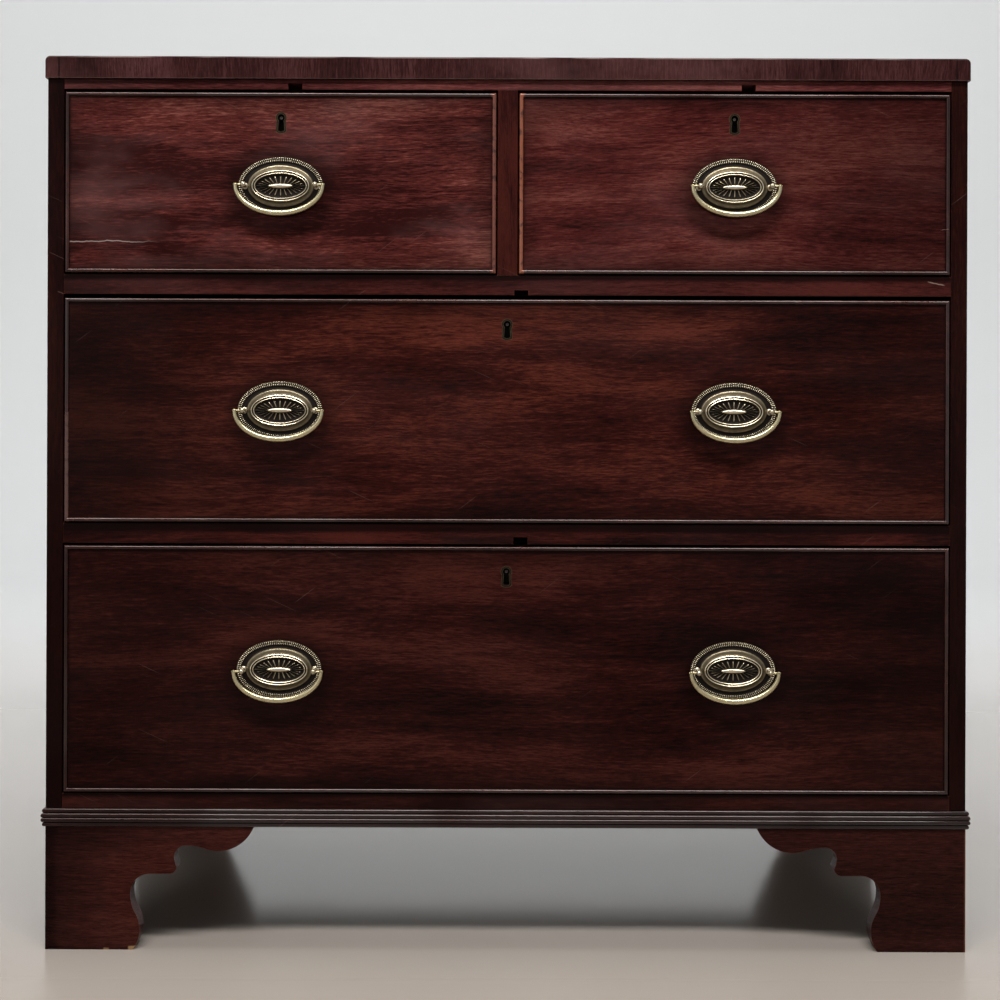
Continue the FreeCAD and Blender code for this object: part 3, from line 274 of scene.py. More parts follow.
# %% Scratches
SCRATCHES, bench, given, result = effect_group(
    "scratches", {"Vector": NOWHERE, "Rarity": 0.86}, {"Mask": 0.0})
marks = 0.0
for slant, seed in ((0.7, 0.0), (-0.45, 3.0)):
    slanted = bench.put("ShaderNodeVectorRotate", {
        "Vector": given["Vector"], "Axis": (0.2, 1.0, 0.3), "Angle": slant}).outputs[0]
    slanted = bench.put("ShaderNodeMapping", {
        "Vector": slanted, "Location": (seed, seed, 0.0), "Scale": (16, 16, 1300)}).outputs[0]
    dash = bench.speckle(slanted, detail=0)
    dash = bench.smooth(dash, given["Rarity"], bench.maths("ADD", given["Rarity"], 0.05))
    marks = bench.maths("MAXIMUM", dash, marks)
bench.feed(result["Mask"], marks)
print("scratches:", len(SCRATCHES.nodes), "nodes")

# %% [markdown]
# Dust lies only where it can: on faces that look up. It is thin, pale and cloudy, and it thickens
# where no duster goes.

# %% Dust
DUST, bench, given, result = effect_group("dust", {"Vector": NOWHERE, "Amount": 0.5}, {"Mask": 0.0})
facing = bench.put("ShaderNodeNewGeometry").outputs["Normal"]
upward = bench.put("ShaderNodeSeparateXYZ", {0: facing}).outputs["Z"]
lying = bench.smooth(upward, 0.55, 0.95)
cloud = bench.smooth(bench.speckle(given["Vector"], scale=11, detail=6, roughness=0.65), 0.3, 0.75)
bench.feed(result["Mask"], bench.maths("MULTIPLY", bench.maths("MULTIPLY", lying, cloud), given["Amount"]))
print("dust:", len(DUST.nodes), "nodes")

# %% [markdown]
# A drawer front darkens towards its beads: a ragged dark margin, with painted shade close by the beads and at
# the ends. This needs to know how far a point is from a panel's left and right ends and from its nearest
# side, seen from the front.

# %% Distance from a panel's sides
PANEL_SIDES, bench, given, result = effect_group(
    "panel_sides", {"Vector": NOWHERE, "Low": NOWHERE, "High": NOWHERE},
    {"Nearest": 0.0, "From Left": 0.0, "From Right": 0.0})
above = bench.minus(given["Vector"], given["Low"])
below = bench.minus(given["High"], given["Vector"])
from_low = bench.put("ShaderNodeSeparateXYZ", {0: above}).outputs
from_high = bench.put("ShaderNodeSeparateXYZ", {0: below}).outputs
bench.feed(result["From Left"], from_low["X"])
bench.feed(result["From Right"], from_high["X"])
nearer_end = bench.maths("MINIMUM", from_low["X"], from_high["X"])
nearer_edge = bench.maths("MINIMUM", from_low["Z"], from_high["Z"])
bench.feed(result["Nearest"], bench.maths("MINIMUM", nearer_end, nearer_edge))
print("panel sides:", len(PANEL_SIDES.nodes), "nodes")

# %% [markdown]
# Wax and painted shade gather by rule, and each rule is a group that gives a mask. A side's front edge is
# nearly black for a finger's width: wax, with painted shade that deepens low down. A rail is dark under the
# beads above it and just over the drawer below it, which is painted shadow and shade. A drawer front has a
# ragged dark margin, a narrow band of painted shade by its beads, and ends that hang in painted shade.

# %% Wax and painted shade on stiles, rails and fronts
STILE_WAX_AND_SHADE, bench, given, result = effect_group(
    "stile_wax_and_shade", {"Vector": NOWHERE, "Front": 0.0}, {"Mask": 0.0})
_, deep, up = bench.put("ShaderNodeSeparateXYZ", {0: given["Vector"]}).outputs
near = bench.smooth(bench.maths("SUBTRACT", deep, given["Front"]), 1 * MM, 22 * MM, 1.0, 0.0)
# Painted shade: darker low down.
shade_low_down = bench.smooth(up, 0.35, 0.85, 0.9, 0.74)
bench.feed(result["Mask"], bench.maths("MULTIPLY", near, shade_low_down))

RAIL_SHADOW, bench, given, result = effect_group(
    "rail_shadow", {"Vector": NOWHERE, "Low": 0.0, "High": 0.0, "Band": 3 * MM}, {"Mask": 0.0})
up = bench.put("ShaderNodeSeparateXYZ", {0: given["Vector"]}).outputs["Z"]
band_foot = bench.maths("SUBTRACT", given["High"], given["Band"])
# Painted shadow under the beads above, and painted shade just over the drawer below.
shadow_under_bead = bench.smooth(bench.maths("SUBTRACT", band_foot, up), 0.0, 5 * MM, 0.88, 0.0)
shade_over_drawer = bench.smooth(bench.maths("SUBTRACT", up, given["Low"]), 0.0, 2 * MM, 0.4, 0.0)
bench.feed(result["Mask"], bench.maths("MAXIMUM", shadow_under_bead, shade_over_drawer))

PANEL_MARGIN_AND_SHADE, bench, given, result = effect_group("panel_margin_and_shade", {
    "Vector": NOWHERE, "Nearest": 0.0, "From Left": 0.0, "From Right": 0.0,
    "Left Shade": 0.0, "Right Shade": 0.0}, {"Mask": 0.0})
cloud = bench.speckle(given["Vector"], scale=13, detail=3)
ragged = bench.maths("ADD", given["Nearest"], bench.maths("MULTIPLY", cloud, 34 * MM))
# A ragged dark margin, and painted shade close by the beads.
strongest = bench.maths(
    "MAXIMUM", bench.smooth(ragged, 12 * MM, 50 * MM, 0.6, 0.0),
    bench.smooth(given["Nearest"], 3 * MM, 12 * MM, 0.75, 0.0))
drift = bench.maths("MULTIPLY", cloud, 90 * MM)
# Painted shade towards each end.
for end in ("Left", "Right"):
    inward = bench.maths("ADD", given["From " + end], drift)
    hanging = bench.smooth(inward, 60 * MM, 300 * MM, given[end + " Shade"], 0.0)
    strongest = bench.maths("MAXIMUM", strongest, hanging)
bench.feed(result["Mask"], strongest)
print("wax groups ready")

# %% [markdown]
# Round each brass plate the wood is darker: old wax, where the cloth can't follow, and the painted shadow of
# the plate and bail, which falls mostly below it. A soft oval about a point a little below the plate's middle
# marks it. Wider ovals serve for lighter and darker patches on the fronts.

# %% Soft ovals
OVAL_HALF = (45 * MM, 34 * MM)
SOFT_OVAL, bench, given, result = effect_group(
    "soft_oval", {"Vector": NOWHERE, "Middle": NOWHERE, "Inner": 0.9, "Outer": 1.6}, {"Mask": 0.0})
away = bench.minus(given["Vector"], given["Middle"])
oval = bench.stretch(away, 1 / OVAL_HALF[0], 0.0, 1 / OVAL_HALF[1])
radius = bench.put("ShaderNodeVectorMath", {0: oval}, operation="LENGTH").outputs["Value"]
bench.feed(result["Mask"], bench.smooth(radius, given["Inner"], given["Outer"], 1.0, 0.0))
print("soft oval:", len(SOFT_OVAL.nodes), "nodes")

# %% [markdown]
# A board that has shrunk may open in a hair-thin split along the grain, and the edge of old polish
# beside it looks pale. The line starts at the drawer's end and wavers by a millimetre or two.

# %% A split along the grain
SPLIT, bench, given, result = effect_group(
    "split", {"Vector": NOWHERE, "Start": NOWHERE, "Length": 0.1}, {"Mask": 0.0})
away = bench.minus(given["Vector"], given["Start"])
waver = bench.speckle(bench.stretch(away, 34, 0, 0), detail=5, roughness=0.6)
parts = bench.put("ShaderNodeSeparateXYZ", {0: away}).outputs
path = bench.maths("MULTIPLY", bench.maths("SUBTRACT", waver, 0.5), 8 * MM)
gap = bench.maths("ABSOLUTE", bench.maths("SUBTRACT", parts["Z"], path))
line = bench.smooth(gap, 0.3 * MM, 0.75 * MM, 1.0, 0.0)
ends = bench.smooth(parts["X"], bench.maths("MULTIPLY", given["Length"], 0.5), given["Length"], 1.0, 0.0)
bench.feed(result["Mask"], bench.maths("MULTIPLY", line, ends))
print("split:", len(SPLIT.nodes), "nodes")

# %% [markdown]
# Moving house leaves knocks: short grazes where the polish has gone and pale wood or dry shellac
# shows. Each is a thin slanting stroke about its own place, cut ragged by a noise.

# %% Knocks and grazes
KNOCK, bench, given, result = effect_group(
    "knock", {"Vector": NOWHERE, "Middle": NOWHERE, "Length": 0.02, "Width": 0.001, "Slope": 0.0},
    {"Mask": 0.0})
away = bench.minus(given["Vector"], given["Middle"])
parts = bench.put("ShaderNodeSeparateXYZ", {0: away}).outputs
ragged = bench.speckle(away, scale=240, detail=3, roughness=0.7)
path = bench.maths("ADD", bench.maths("MULTIPLY", parts["X"], given["Slope"]),
                   bench.maths("MULTIPLY", bench.maths("SUBTRACT", ragged, 0.5), 1.5 * MM))
gap = bench.maths("ABSOLUTE", bench.maths("SUBTRACT", parts["Z"], path))
off = bench.maths("DIVIDE", gap, given["Width"])
along = bench.maths("DIVIDE", bench.maths("ABSOLUTE", parts["X"]), given["Length"])
line = bench.smooth(off, 0.3, 0.6, 1.0, 0.0)
bench.feed(result["Mask"], bench.maths("MULTIPLY", line, bench.smooth(along, 0.3, 0.5, 1.0, 0.0)))
print("knock:", len(KNOCK.nodes), "nodes")

# %% [markdown]
# French polish is never even. It blooms, a faint milky cloud, and that pale cloud is also a painted sheen,
# put where light would reflect. It is dull in corners and along a scratch, and its shine comes and goes in
# places as wide as a hand. It lies over the grain in a slow wave, which keeps its reflections from looking
# like glass.

# %% Bloom, painted sheen and polish
BLOOM_AND_SHEEN, bench, given, result = effect_group("bloom_and_sheen", {"Vector": NOWHERE, "Amount": 0.1}, {"Mask": 0.0})
clouds = bench.speckle(bench.stretch(given["Vector"], 4, 9, 11), detail=5, roughness=0.6)
bench.feed(result["Mask"], bench.smooth(clouds, 0.46, 0.74, 0.0, given["Amount"]))

POLISH, bench, given, result = effect_group("polish", {
    "Vector": NOWHERE, "Corner": 0.0, "Scratch": 0.0, "Grain": 0.0,
    "Rough": 0.28, "Dull": 0.3, "Coat": 0.045, "Relief": 0.12},
    {"Roughness": 0.3, "Coat": 0.0, "Height": 0.0})
smear = bench.speckle(given["Vector"], scale=9, detail=4, roughness=0.6)
smear = bench.smooth(smear, 0.3, 0.7, given["Rough"], bench.maths("ADD", given["Rough"], 0.1))
matt = bench.maths("ADD", smear, bench.maths("MULTIPLY", given["Corner"], given["Dull"]))
bench.feed(result["Roughness"], bench.maths("ADD", matt, bench.maths("MULTIPLY", given["Scratch"], 0.2)))
sheen = bench.smooth(bench.speckle(given["Vector"], scale=7, detail=2), 0.36, 0.56, 0.35, 1.2)
thin = bench.smooth(given["Corner"], 0.0, 0.7, given["Coat"], 0.01)
bench.feed(result["Coat"], bench.maths("MULTIPLY", sheen, thin))
wave = bench.maths("MULTIPLY", bench.speckle(given["Vector"], scale=16, detail=1), 1.5)
height = bench.maths("ADD", bench.maths("MULTIPLY", given["Grain"], given["Relief"]), wave)
bench.feed(result["Height"], bench.maths("SUBTRACT", height, bench.maths("MULTIPLY", given["Scratch"], 0.3)))
print("bloom and polish groups ready")

# %% [markdown]
# Grain runs along a board, whichever way the board lies. The finish reads a point's place on the
# chest and turns it, so that its first number always counts along the grain. Round a mitred corner
# the grain follows two ways at once, and the sum of two numbers does that.

# %% Turning places to the grain
ALONG = {
    "x": ("X", "Y", "Z"), "y": ("Y", "X", "Z"), "z": ("Z", "X", "Y"),
    "xy": ("X+Y", "Z", "Y"), "xz": ("X+Z", "Y", "Y"),
}


def grain_place(bench, along, start):
    """A point's place, its first number along the grain, moved to another spot of the log."""
    parts = bench.put("ShaderNodeSeparateXYZ", {0: bench.put("ShaderNodeTexCoord").outputs["Object"]}).outputs
    numbers = []
    for word in ALONG[along]:
        first, *others = [parts[letter] for letter in word.split("+")]
        numbers.append(bench.maths("ADD", first, others[0]) if others else first)
    turned = bench.put("ShaderNodeCombineXYZ", dict(enumerate(numbers))).outputs[0]
    return bench.put("ShaderNodeVectorMath", {0: turned, 1: start}, operation="ADD").outputs[0]


def finish(name):
    """A new material, its bench, its shader and a point's place on the chest."""
    material = bpy.data.materials.new(name)
    material.use_nodes = True
    bench = Bench(material.node_tree)
    shader = material.node_tree.nodes["Principled BSDF"]
    return material, bench, shader, bench.put("ShaderNodeTexCoord").outputs["Object"]


# %% [markdown]
# Old French polish is many thin coats of shellac over stained mahogany. The colour sits in the wood and the
# shine on top, so the finish has a base that carries figure, pores, dirt, wear and painted shade, and a thin
# coat whose shine comes and goes. The base is built in the order in which a chest gets it. First comes the
# wood: three tones along its figure, lifted or lowered in given patches, with dark pores and a faint milky
# cloud in the polish that is also a painted sheen.

# %% The wood under the polish
# The near-black colour serves wax, soot and painted shade alike. The milky colour serves both a faint milky
# cloud and painted sheen.
PORE, SOOT_AND_SHADE, MILK_AND_SHEEN = "120403", "080303", "6d4b49"
FIGURE_STOPS = (0.2, 0.5, 0.82)
PORE_DEPTH = 0.5
SPOT_SPREAD = 3.0


def wood_colour_and_sheen(bench, board, place, tones, tone_spots, bloom_sheen_amount):
    """The colour of bare figure with its lighter and darker patches, and a milky cloud that is also a painted
    sheen.
    """
    tone = board["Tone"]
    for centre, lift in tone_spots:
        spot = bench.effect(SOFT_OVAL, Vector=place, Middle=centre, Inner=0.0, Outer=SPOT_SPREAD)["Mask"]
        tone = bench.maths("ADD", tone, bench.maths("MULTIPLY", spot, lift))
    colour = bench.ramp(tone, *zip(FIGURE_STOPS, tones))
    colour = bench.blend(bench.maths("MULTIPLY", board["Pores"], PORE_DEPTH), colour, shade(PORE))
    return bench.blend(bench.effect(BLOOM_AND_SHEEN, Vector=place, Amount=bloom_sheen_amount)["Mask"], colour, shade(MILK_AND_SHEEN))


# %% [markdown]
# Then two centuries of wax and soot, together with painted shade and shadow. Each place where they gather
# gives a mask: corners, a side's front edge, a rail, a drawer front and the ring round a plate. The strongest
# wins, so that no darkening is counted twice.

# %% Wax, soot and painted shade
# How dark corners may go, with wax and painted shade, and how dark the ring round a plate may go, with wax
# and painted shadow.
CORNER_WAX_AND_SHADE, PLATE_WAX_AND_SHADOW = 0.8, 0.65


def gathered_wax_and_shade(bench, place, corner, stile, rail, panel, shaded, plates):
    """The strongest of a board's masks of wax and painted shade."""
    strongest = bench.maths("MULTIPLY", corner, CORNER_WAX_AND_SHADE)
    masks = []
    if stile:
        masks.append(bench.effect(STILE_WAX_AND_SHADE, Vector=place, Front=CASE_FRONT)["Mask"])
    if rail:
        low, high, band = rail
        masks.append(bench.effect(RAIL_SHADOW, Vector=place, Low=low, High=high, Band=band)["Mask"])
    if panel:
        sides = bench.effect(PANEL_SIDES, Vector=place, Low=panel[0], High=panel[1])
        masks.append(bench.effect(
            PANEL_MARGIN_AND_SHADE, Vector=place, Nearest=sides["Nearest"], From_Left=sides["From Left"],
            From_Right=sides["From Right"], Left_Shade=shaded[0], Right_Shade=shaded[1])["Mask"])
    for plate in plates:
        ring = bench.effect(SOFT_OVAL, Vector=place, Middle=plate)["Mask"]
        masks.append(bench.maths("MULTIPLY", ring, PLATE_WAX_AND_SHADOW))
    for mask in masks:
        strongest = bench.maths("MAXIMUM", strongest, mask)
    return strongest


# %% [markdown]
# Last come the marks of use: fine scratches, a split, rubbed arrises, beads worn to the wood, knocks, the
# open joint of a mitre, the pale broken line of a lip, which is worn polish with a painted highlight, and
# dust. Where a mark belongs to one place only, the finish is told that place, and elsewhere the mark is left
# out.

# %% Marks of use
# The pale colour of a lip is worn polish and a painted highlight.
BARE, SCUFF, OLD_GLUE, WORN_POLISH_AND_HIGHLIGHT, GREY_DUST = "6e3a26", "8a6a62", "9a8680", "94867f", "6f625a"


def bared_colour(bench, colour, place, box):
    """Polish gone inside a box, with thin remains."""
    low, high, code = box
    inside = bench.effect(PANEL_SIDES, Vector=place, Low=low, High=high)["Nearest"]
    thin = bench.smooth(bench.speckle(place, scale=160, detail=3), 0.32, 0.5, 0.25, 0.9)
    gone = bench.maths("MULTIPLY", bench.smooth(inside, 0.0, 2 * MM), thin)
    return bench.blend(gone, colour, shade(code))


def knocked_colour(bench, colour, place, knock):
    centre, length, width, slope, code = knock
    stroke = bench.effect(KNOCK, Vector=place, Middle=centre, Length=length, Width=width, Slope=slope)
    return bench.blend(bench.maths("MULTIPLY", stroke["Mask"], 0.7), colour, shade(code))


def jointed_colour(bench, colour, across, joint):
    """Two dark lines, as far left and right of the middle."""
    away = bench.maths("ABSOLUTE", bench.maths("SUBTRACT", bench.maths("ABSOLUTE", across), joint))
    return bench.blend(bench.smooth(away, 0.4 * MM, 1.1 * MM, 0.9, 0.0), colour, shade(SOOT_AND_SHADE))


def lip_wear_and_highlight(bench, colour, place, up, lip):
    """A pale broken line on upright faces, just under an edge at height lip: worn polish and a painted
    highlight.
    """
    normal = bench.put("ShaderNodeNewGeometry").outputs["Normal"]
    facing = bench.put("ShaderNodeSeparateXYZ", {0: normal}).outputs["Z"]
    upright = bench.smooth(facing, 0.5, 0.9, 1.0, 0.0)
    rise = bench.maths("MULTIPLY", bench.smooth(up, lip - 2.2 * MM, lip - 0.8 * MM), upright)
    broken = bench.smooth(bench.speckle(bench.stretch(place, 14, 14, 90), detail=4), 0.4, 0.6, 0.0, 0.75)
    return bench.blend(bench.maths("MULTIPLY", rise, broken), colour, shade(WORN_POLISH_AND_HIGHLIGHT))


# %% [markdown]
# One function makes every mahogany of the chest from these layers. Each board gets its own spot of the
# log, its own three tones, and as much wear as its place has seen.

# %% Polished mahogany
SHELLAC = shade("ffc6b6")


def mahogany(name, along, start, tones, panel=None, shaded=(0.0, 0.0), plates=(), split=None,
             bared=(), knocks=(), tone_spots=(), stile=False, rail=None, joint=None, lip=None,
             wear=0.5, patchy=0.5, bare=BARE, bloom_sheen_amount=0.0, dusty=0.0, nook=10 * MM,
             figure=1.3, streaks=0.4, relief=0.12,
             shine=0.06, rough=0.28, dull=0.3, coat=0.045, coat_rough=0.2):
    """French polished mahogany. tones are dark, middle and light; panel is a drawer front's box."""
    material, bench, shader, place = finish(name)
    across, _, up = bench.put("ShaderNodeSeparateXYZ", {0: place}).outputs
    board = bench.effect(
        MAHOGANY_FIGURE, Vector=grain_place(bench, along, start), Figure=figure, Streaks=streaks)
    colour = wood_colour_and_sheen(bench, board, place, tones, tone_spots, bloom_sheen_amount)

    corner = bench.effect(DARK_CORNER, Vector=place, Reach=nook)["Mask"]
    # The mask holds wax and soot together with painted shade and shadow.
    wax = gathered_wax_and_shade(bench, place, corner, stile, rail, panel, shaded, plates)
    colour = bench.blend(wax, colour, shade(SOOT_AND_SHADE))
    scratch = bench.effect(SCRATCHES, Vector=place)["Mask"]
    colour = bench.blend(bench.maths("MULTIPLY", scratch, 0.25), colour, shade(SCUFF))
    if split:
        opened = bench.effect(SPLIT, Vector=place, Start=split)["Mask"]
        colour = bench.blend(bench.maths("MULTIPLY", opened, 0.8), colour, shade(OLD_GLUE))
    rubbed = bench.effect(RUBBED_ARRIS, Vector=place, Patchiness=patchy)["Mask"]
    colour = bench.blend(bench.maths("MULTIPLY", rubbed, wear), colour, shade(bare))
    for box in bared:
        colour = bared_colour(bench, colour, place, box)
    for knock in knocks:
        colour = knocked_colour(bench, colour, place, knock)
    if joint:
        colour = jointed_colour(bench, colour, across, joint)
    if lip:
        colour = lip_wear_and_highlight(bench, colour, place, up, lip)
    if dusty:
        lying = bench.effect(DUST, Vector=place, Amount=dusty)["Mask"]
        colour = bench.blend(lying, colour, shade(GREY_DUST))
    bench.feed(shader.inputs["Base Color"], colour)

    polish = bench.effect(
        POLISH, Vector=place, Corner=corner, Scratch=scratch, Grain=board["Height"],
        Rough=rough, Dull=dull, Coat=coat, Relief=relief)
    bench.feed(shader.inputs["Roughness"], polish["Roughness"])
    bench.feed(shader.inputs["Coat Weight"], polish["Coat"])
    shader.inputs["Coat Roughness"].default_value = coat_rough
    shader.inputs["Specular IOR Level"].default_value = shine
    shader.inputs["Specular Tint"].default_value = SHELLAC
    bump = bench.put("ShaderNodeBump", {"Strength": 0.5, "Distance": 0.35 * MM, "Height": polish["Height"]})
    bench.feed(shader.inputs["Normal"], bump.outputs[0])
    return material


# %% [markdown]
# The hidden wood is cheaper and was never polished: pine behind and below, oak for the drawers. It has
# gone brown with air and hands. The same function makes both, from other colours and ring widths.

# %% Bare pine and oak
AIR_STAIN, GRIME_AND_SHADE, FRESH_ARRIS, PALE_DUST = "4a3524", "1d140d", "b89468", "8b8074"


def bare_wood(name, along, start, early, late, ring, board=0.15, dusty=0.4, rough=0.62):
    """Unpolished wood. early and late are the two ends of a year's growth, board is a board's width."""
    material, bench, shader, place = finish(name)
    spot = grain_place(bench, along, start)
    across = bench.put("ShaderNodeSeparateXYZ", {0: spot}).outputs["Y"]
    number = bench.maths("FLOOR", bench.maths("DIVIDE", across, board))
    chance = bench.put("ShaderNodeTexWhiteNoise", {"W": number}, noise_dimensions="1D")
    shift = bench.put("ShaderNodeVectorMath", {0: chance.outputs["Color"], "Scale": 0.6}, operation="SCALE")
    spot = bench.put("ShaderNodeVectorMath", {0: spot, 1: shift.outputs[0]}, operation="ADD").outputs[0]
    board = bench.effect(GROWTH_RINGS, Vector=spot, Ring_Width=ring, Wander=22 * MM)
    tone = bench.maths("ADD", bench.maths("MULTIPLY", board["Late Wood"], 0.42),
                       bench.maths("MULTIPLY", board["Fibres"], 0.5), clamp=True)
    tone = bench.maths("ADD", tone, bench.maths("MULTIPLY", chance.outputs["Value"], 0.25), clamp=True)
    colour = bench.ramp(tone, (0.2, early), (0.75, late))
    stain = bench.smooth(bench.speckle(place, scale=5, detail=5, roughness=0.6), 0.42, 0.72, 0.0, 0.5)
    colour = bench.blend(stain, colour, shade(AIR_STAIN))
    # Corners darken: grime together with painted shade.
    corner = bench.effect(DARK_CORNER, Vector=place, Reach=16 * MM)["Mask"]
    colour = bench.blend(bench.maths("MULTIPLY", corner, 0.6), colour, shade(GRIME_AND_SHADE))
    rubbed = bench.effect(RUBBED_ARRIS, Vector=place, Reach=2 * MM)["Mask"]
    colour = bench.blend(bench.maths("MULTIPLY", rubbed, 0.35), colour, shade(FRESH_ARRIS))
    dust = bench.effect(DUST, Vector=place, Amount=dusty)["Mask"]
    colour = bench.blend(dust, colour, shade(PALE_DUST))
    bench.feed(shader.inputs["Base Color"], colour)
    bench.feed(shader.inputs["Roughness"], bench.smooth(board["Fibres"], 0.3, 0.7, rough, rough + 0.2))
    shader.inputs["Specular IOR Level"].default_value = 0.3
    bump = bench.put("ShaderNodeBump", {
        "Strength": 0.3, "Distance": 0.15 * MM, "Height": board["Height"]})
    bench.feed(shader.inputs["Normal"], bump.outputs[0])
    return material


# %% [markdown]
# Brass that is handled but never scoured goes brown, then nearly black wherever a thumb can't reach,
# and stays gold on every high ridge. The same two groups find the hollows and the ridges. A little
# cloudiness in the colour and the shine keeps it from looking plated.

# %% Antique brass and iron
def old_metal(name, deep, dull, bright, pieced=True, rough=0.3, metallic=1.0):
    """Tarnished metal, from deep in the hollows through dull to bright on the ridges."""
    material, bench, shader, place = finish(name)
    cloud = bench.speckle(place, scale=170, detail=4, roughness=0.6)
    if pieced:
        ridge = bench.effect(RUBBED_ARRIS, Vector=place, Reach=0.7 * MM, Patchiness=0.15)["Mask"]
        hollow = bench.effect(DARK_CORNER, Vector=place, Reach=2.5 * MM, Patchiness=0.25)["Mask"]
        polish = bench.maths("ADD", 0.5, bench.maths("MULTIPLY", ridge, 0.4))
        polish = bench.maths("SUBTRACT", polish, bench.maths("MULTIPLY", hollow, 0.5))
    else:
        polish = bench.put("ShaderNodeAttribute", attribute_name="polish").outputs["Fac"]
    uneven = bench.maths("MULTIPLY", bench.maths("SUBTRACT", cloud, 0.5), 0.35)
    polish = bench.maths("ADD", polish, uneven, clamp=True)
    colour = bench.ramp(polish, (0.12, deep), (0.55, dull), (0.95, bright))
    bench.feed(shader.inputs["Base Color"], colour)
    bench.feed(shader.inputs["Metallic"], bench.smooth(polish, 0.0, 0.4, metallic * 0.4, metallic))
    bench.feed(shader.inputs["Roughness"], bench.smooth(polish, 0.0, 0.9, rough + 0.3, rough))
    shader.inputs["Specular IOR Level"].default_value = 0.2
    pits = bench.speckle(place, scale=900, detail=2)
    bump = bench.put("ShaderNodeBump", {"Strength": 0.2, "Distance": 0.05 * MM, "Height": pits})
    bench.feed(shader.inputs["Normal"], bump.outputs[0])
    return material


BRASS = old_metal("antique_brass", "17100b", "766a54", "e2d4ba", pieced=False, rough=0.3)
BAIL_BRASS = old_metal("bail_brass", "141007", "564b2e", "c8bb95", pieced=False, rough=0.27)
LINER = old_metal("liner_brass", "080605", "2c241b", "665a45", rough=0.4)
IRON = old_metal("lock_iron", "120e0c", "3a3532", "6b645e", rough=0.5)
STEEL = old_metal("bolt_steel", "2a2826", "7c7872", "b4b0a8", rough=0.35)
NAIL = old_metal("nail_iron", "170d08", "3c2418", "5a4436", rough=0.65, metallic=0.6)

# %% [markdown]
# Now the boards. The short drawer fronts are lighter and redder than the long ones below, partly in their own
# colour and partly as painted light; the long ones, which hang in their own shade, get darker tones that are
# partly painted shade. The carcase is nearly black on its edges. The front strip of the top is cut across the
# grain, so its streaks stand upright.

# %% The chest's woods
WOODS = {}
CASE_TONES = ("110403", "2a0e0a", "451d14")
SIDE_TONES = ("140505", "36120e", "5a281c")
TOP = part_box("top_edge_strips")[1].z
# For each rail: its bottom, its top, and how far under its top the painted shadow of the beads above stays
# full.
RAIL_SHADOW_BANDS = {node: (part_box(node)[0].z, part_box(node)[1].z, band * MM)
         for node, band in (("top_rail", -3), ("upper_rail", 3), ("middle_rail", 6), ("bottom_rail", 1))}


def graze(x, z, length, width, slope, code="8c7468"):
    """A knock, from millimetres across and up."""
    return (x * MM, 0.0, z * MM), length * MM, width * MM, slope, code


WEAR = {
    "top_board": {"dusty": 0.12, "shine": 0.25, "bloom_sheen_amount": 0.05, "figure": 1.0},
    "side_left": {"stile": True, "figure": 1.4, "knocks": [graze(-445, 655, 8, 1.0, -0.4, "5a403a")]},
    "side_right": {"stile": True, "figure": 1.4},
    "drawer_divider": {"figure": 2.2, "streaks": 0.9},
    "top_rail": {"figure": 1.3, "bloom_sheen_amount": 0.35, "rail": RAIL_SHADOW_BANDS["top_rail"]},
    "upper_rail": {"figure": 1.3, "streaks": 0.7, "bloom_sheen_amount": 0.15, "rail": RAIL_SHADOW_BANDS["upper_rail"], "knocks": [
        graze(428, 667, 19, 1.4, -0.2), graze(20, 653, 15, 1.0, 0.05, "94805f")]},
    "middle_rail": {"figure": 2.2, "streaks": 1.0, "bloom_sheen_amount": 0.1, "rail": RAIL_SHADOW_BANDS["middle_rail"]},
    "bottom_rail": {"figure": 1.8, "streaks": 0.8, "bloom_sheen_amount": 0.1, "rail": RAIL_SHADOW_BANDS["bottom_rail"]},
    "front_foot_left": {"figure": 0.9, "streaks": 0.2, "knocks": [
        graze(-372, 1.5, 10, 5, 0.1, "a4845c"), graze(-398, 0.8, 7, 2.5, 0.0, "8a6c4a")]},
    "front_foot_right": {"figure": 0.8, "streaks": 0.15},
    "top_edge_strips": {"wear": 0.5, "bare": "8c7468", "figure": 0.9, "streaks": 0.25, "joint": 447 * MM,
                        "bloom_sheen_amount": 0.3, "lip": TOP},
    "base_moulding": {"shine": 0.16, "rough": 0.1, "wear": 0.12, "bare": "6a4238", "patchy": 0.8,
                      "nook": 3 * MM, "dull": 0.05, "relief": 0.04, "coat": 0.55, "coat_rough": 0.07,
                      "dusty": 0.2},
}
for node, along, tones in (
        ("top_board", "x", ("220a07", "46190f", "6e3020")),
        ("top_edge_strips", "z", ("1b0b0c", "341a1a", "4f2f30")),
        ("side_left", "z", SIDE_TONES), ("side_right", "z", SIDE_TONES),
        ("drawer_divider", "z", ("120505", "280d0c", "401914")),
        # The top rail's tones are lighter than the other rails': painted light against the shadow that the
        # top throws on it.
        ("top_rail", "x", ("2c0e0e", "542726", "78443f")),
        ("upper_rail", "x", ("140605", "2e1110", "4a211d")),
        ("middle_rail", "x", ("120505", "290f0d", "461c17")),
        ("bottom_rail", "x", ("100404", "240d0b", "3a1813")),
        ("base_moulding", "xy", ("080202", "180807", "341712")),
        ("front_foot_left", "xy", ("120605", "341512", "4c251e")),
        ("front_foot_right", "xy", ("100605", "29110f", "3e1d19")),
        ("back_foot_left", "y", CASE_TONES), ("back_foot_right", "y", CASE_TONES)):
    start = (len(WOODS) * 0.37, len(WOODS) * 0.11, len(WOODS) * 0.23)
    WOODS[node] = mahogany(node + "_polish", along, start, tones, **WEAR.get(node, {}))

# The long fronts' darker tones are partly painted shade, and the short fronts' lighter ones partly painted
# light.
FRONT_TONES = {
    "left": ("280c0c", "5a2824", "90584c"), "right": ("200909", "4b1d1b", "6c3a33"),
    "middle": ("120505", "33120f", "5a2a20"), "bottom": ("0d0404", "270d0c", "46201a"),
}


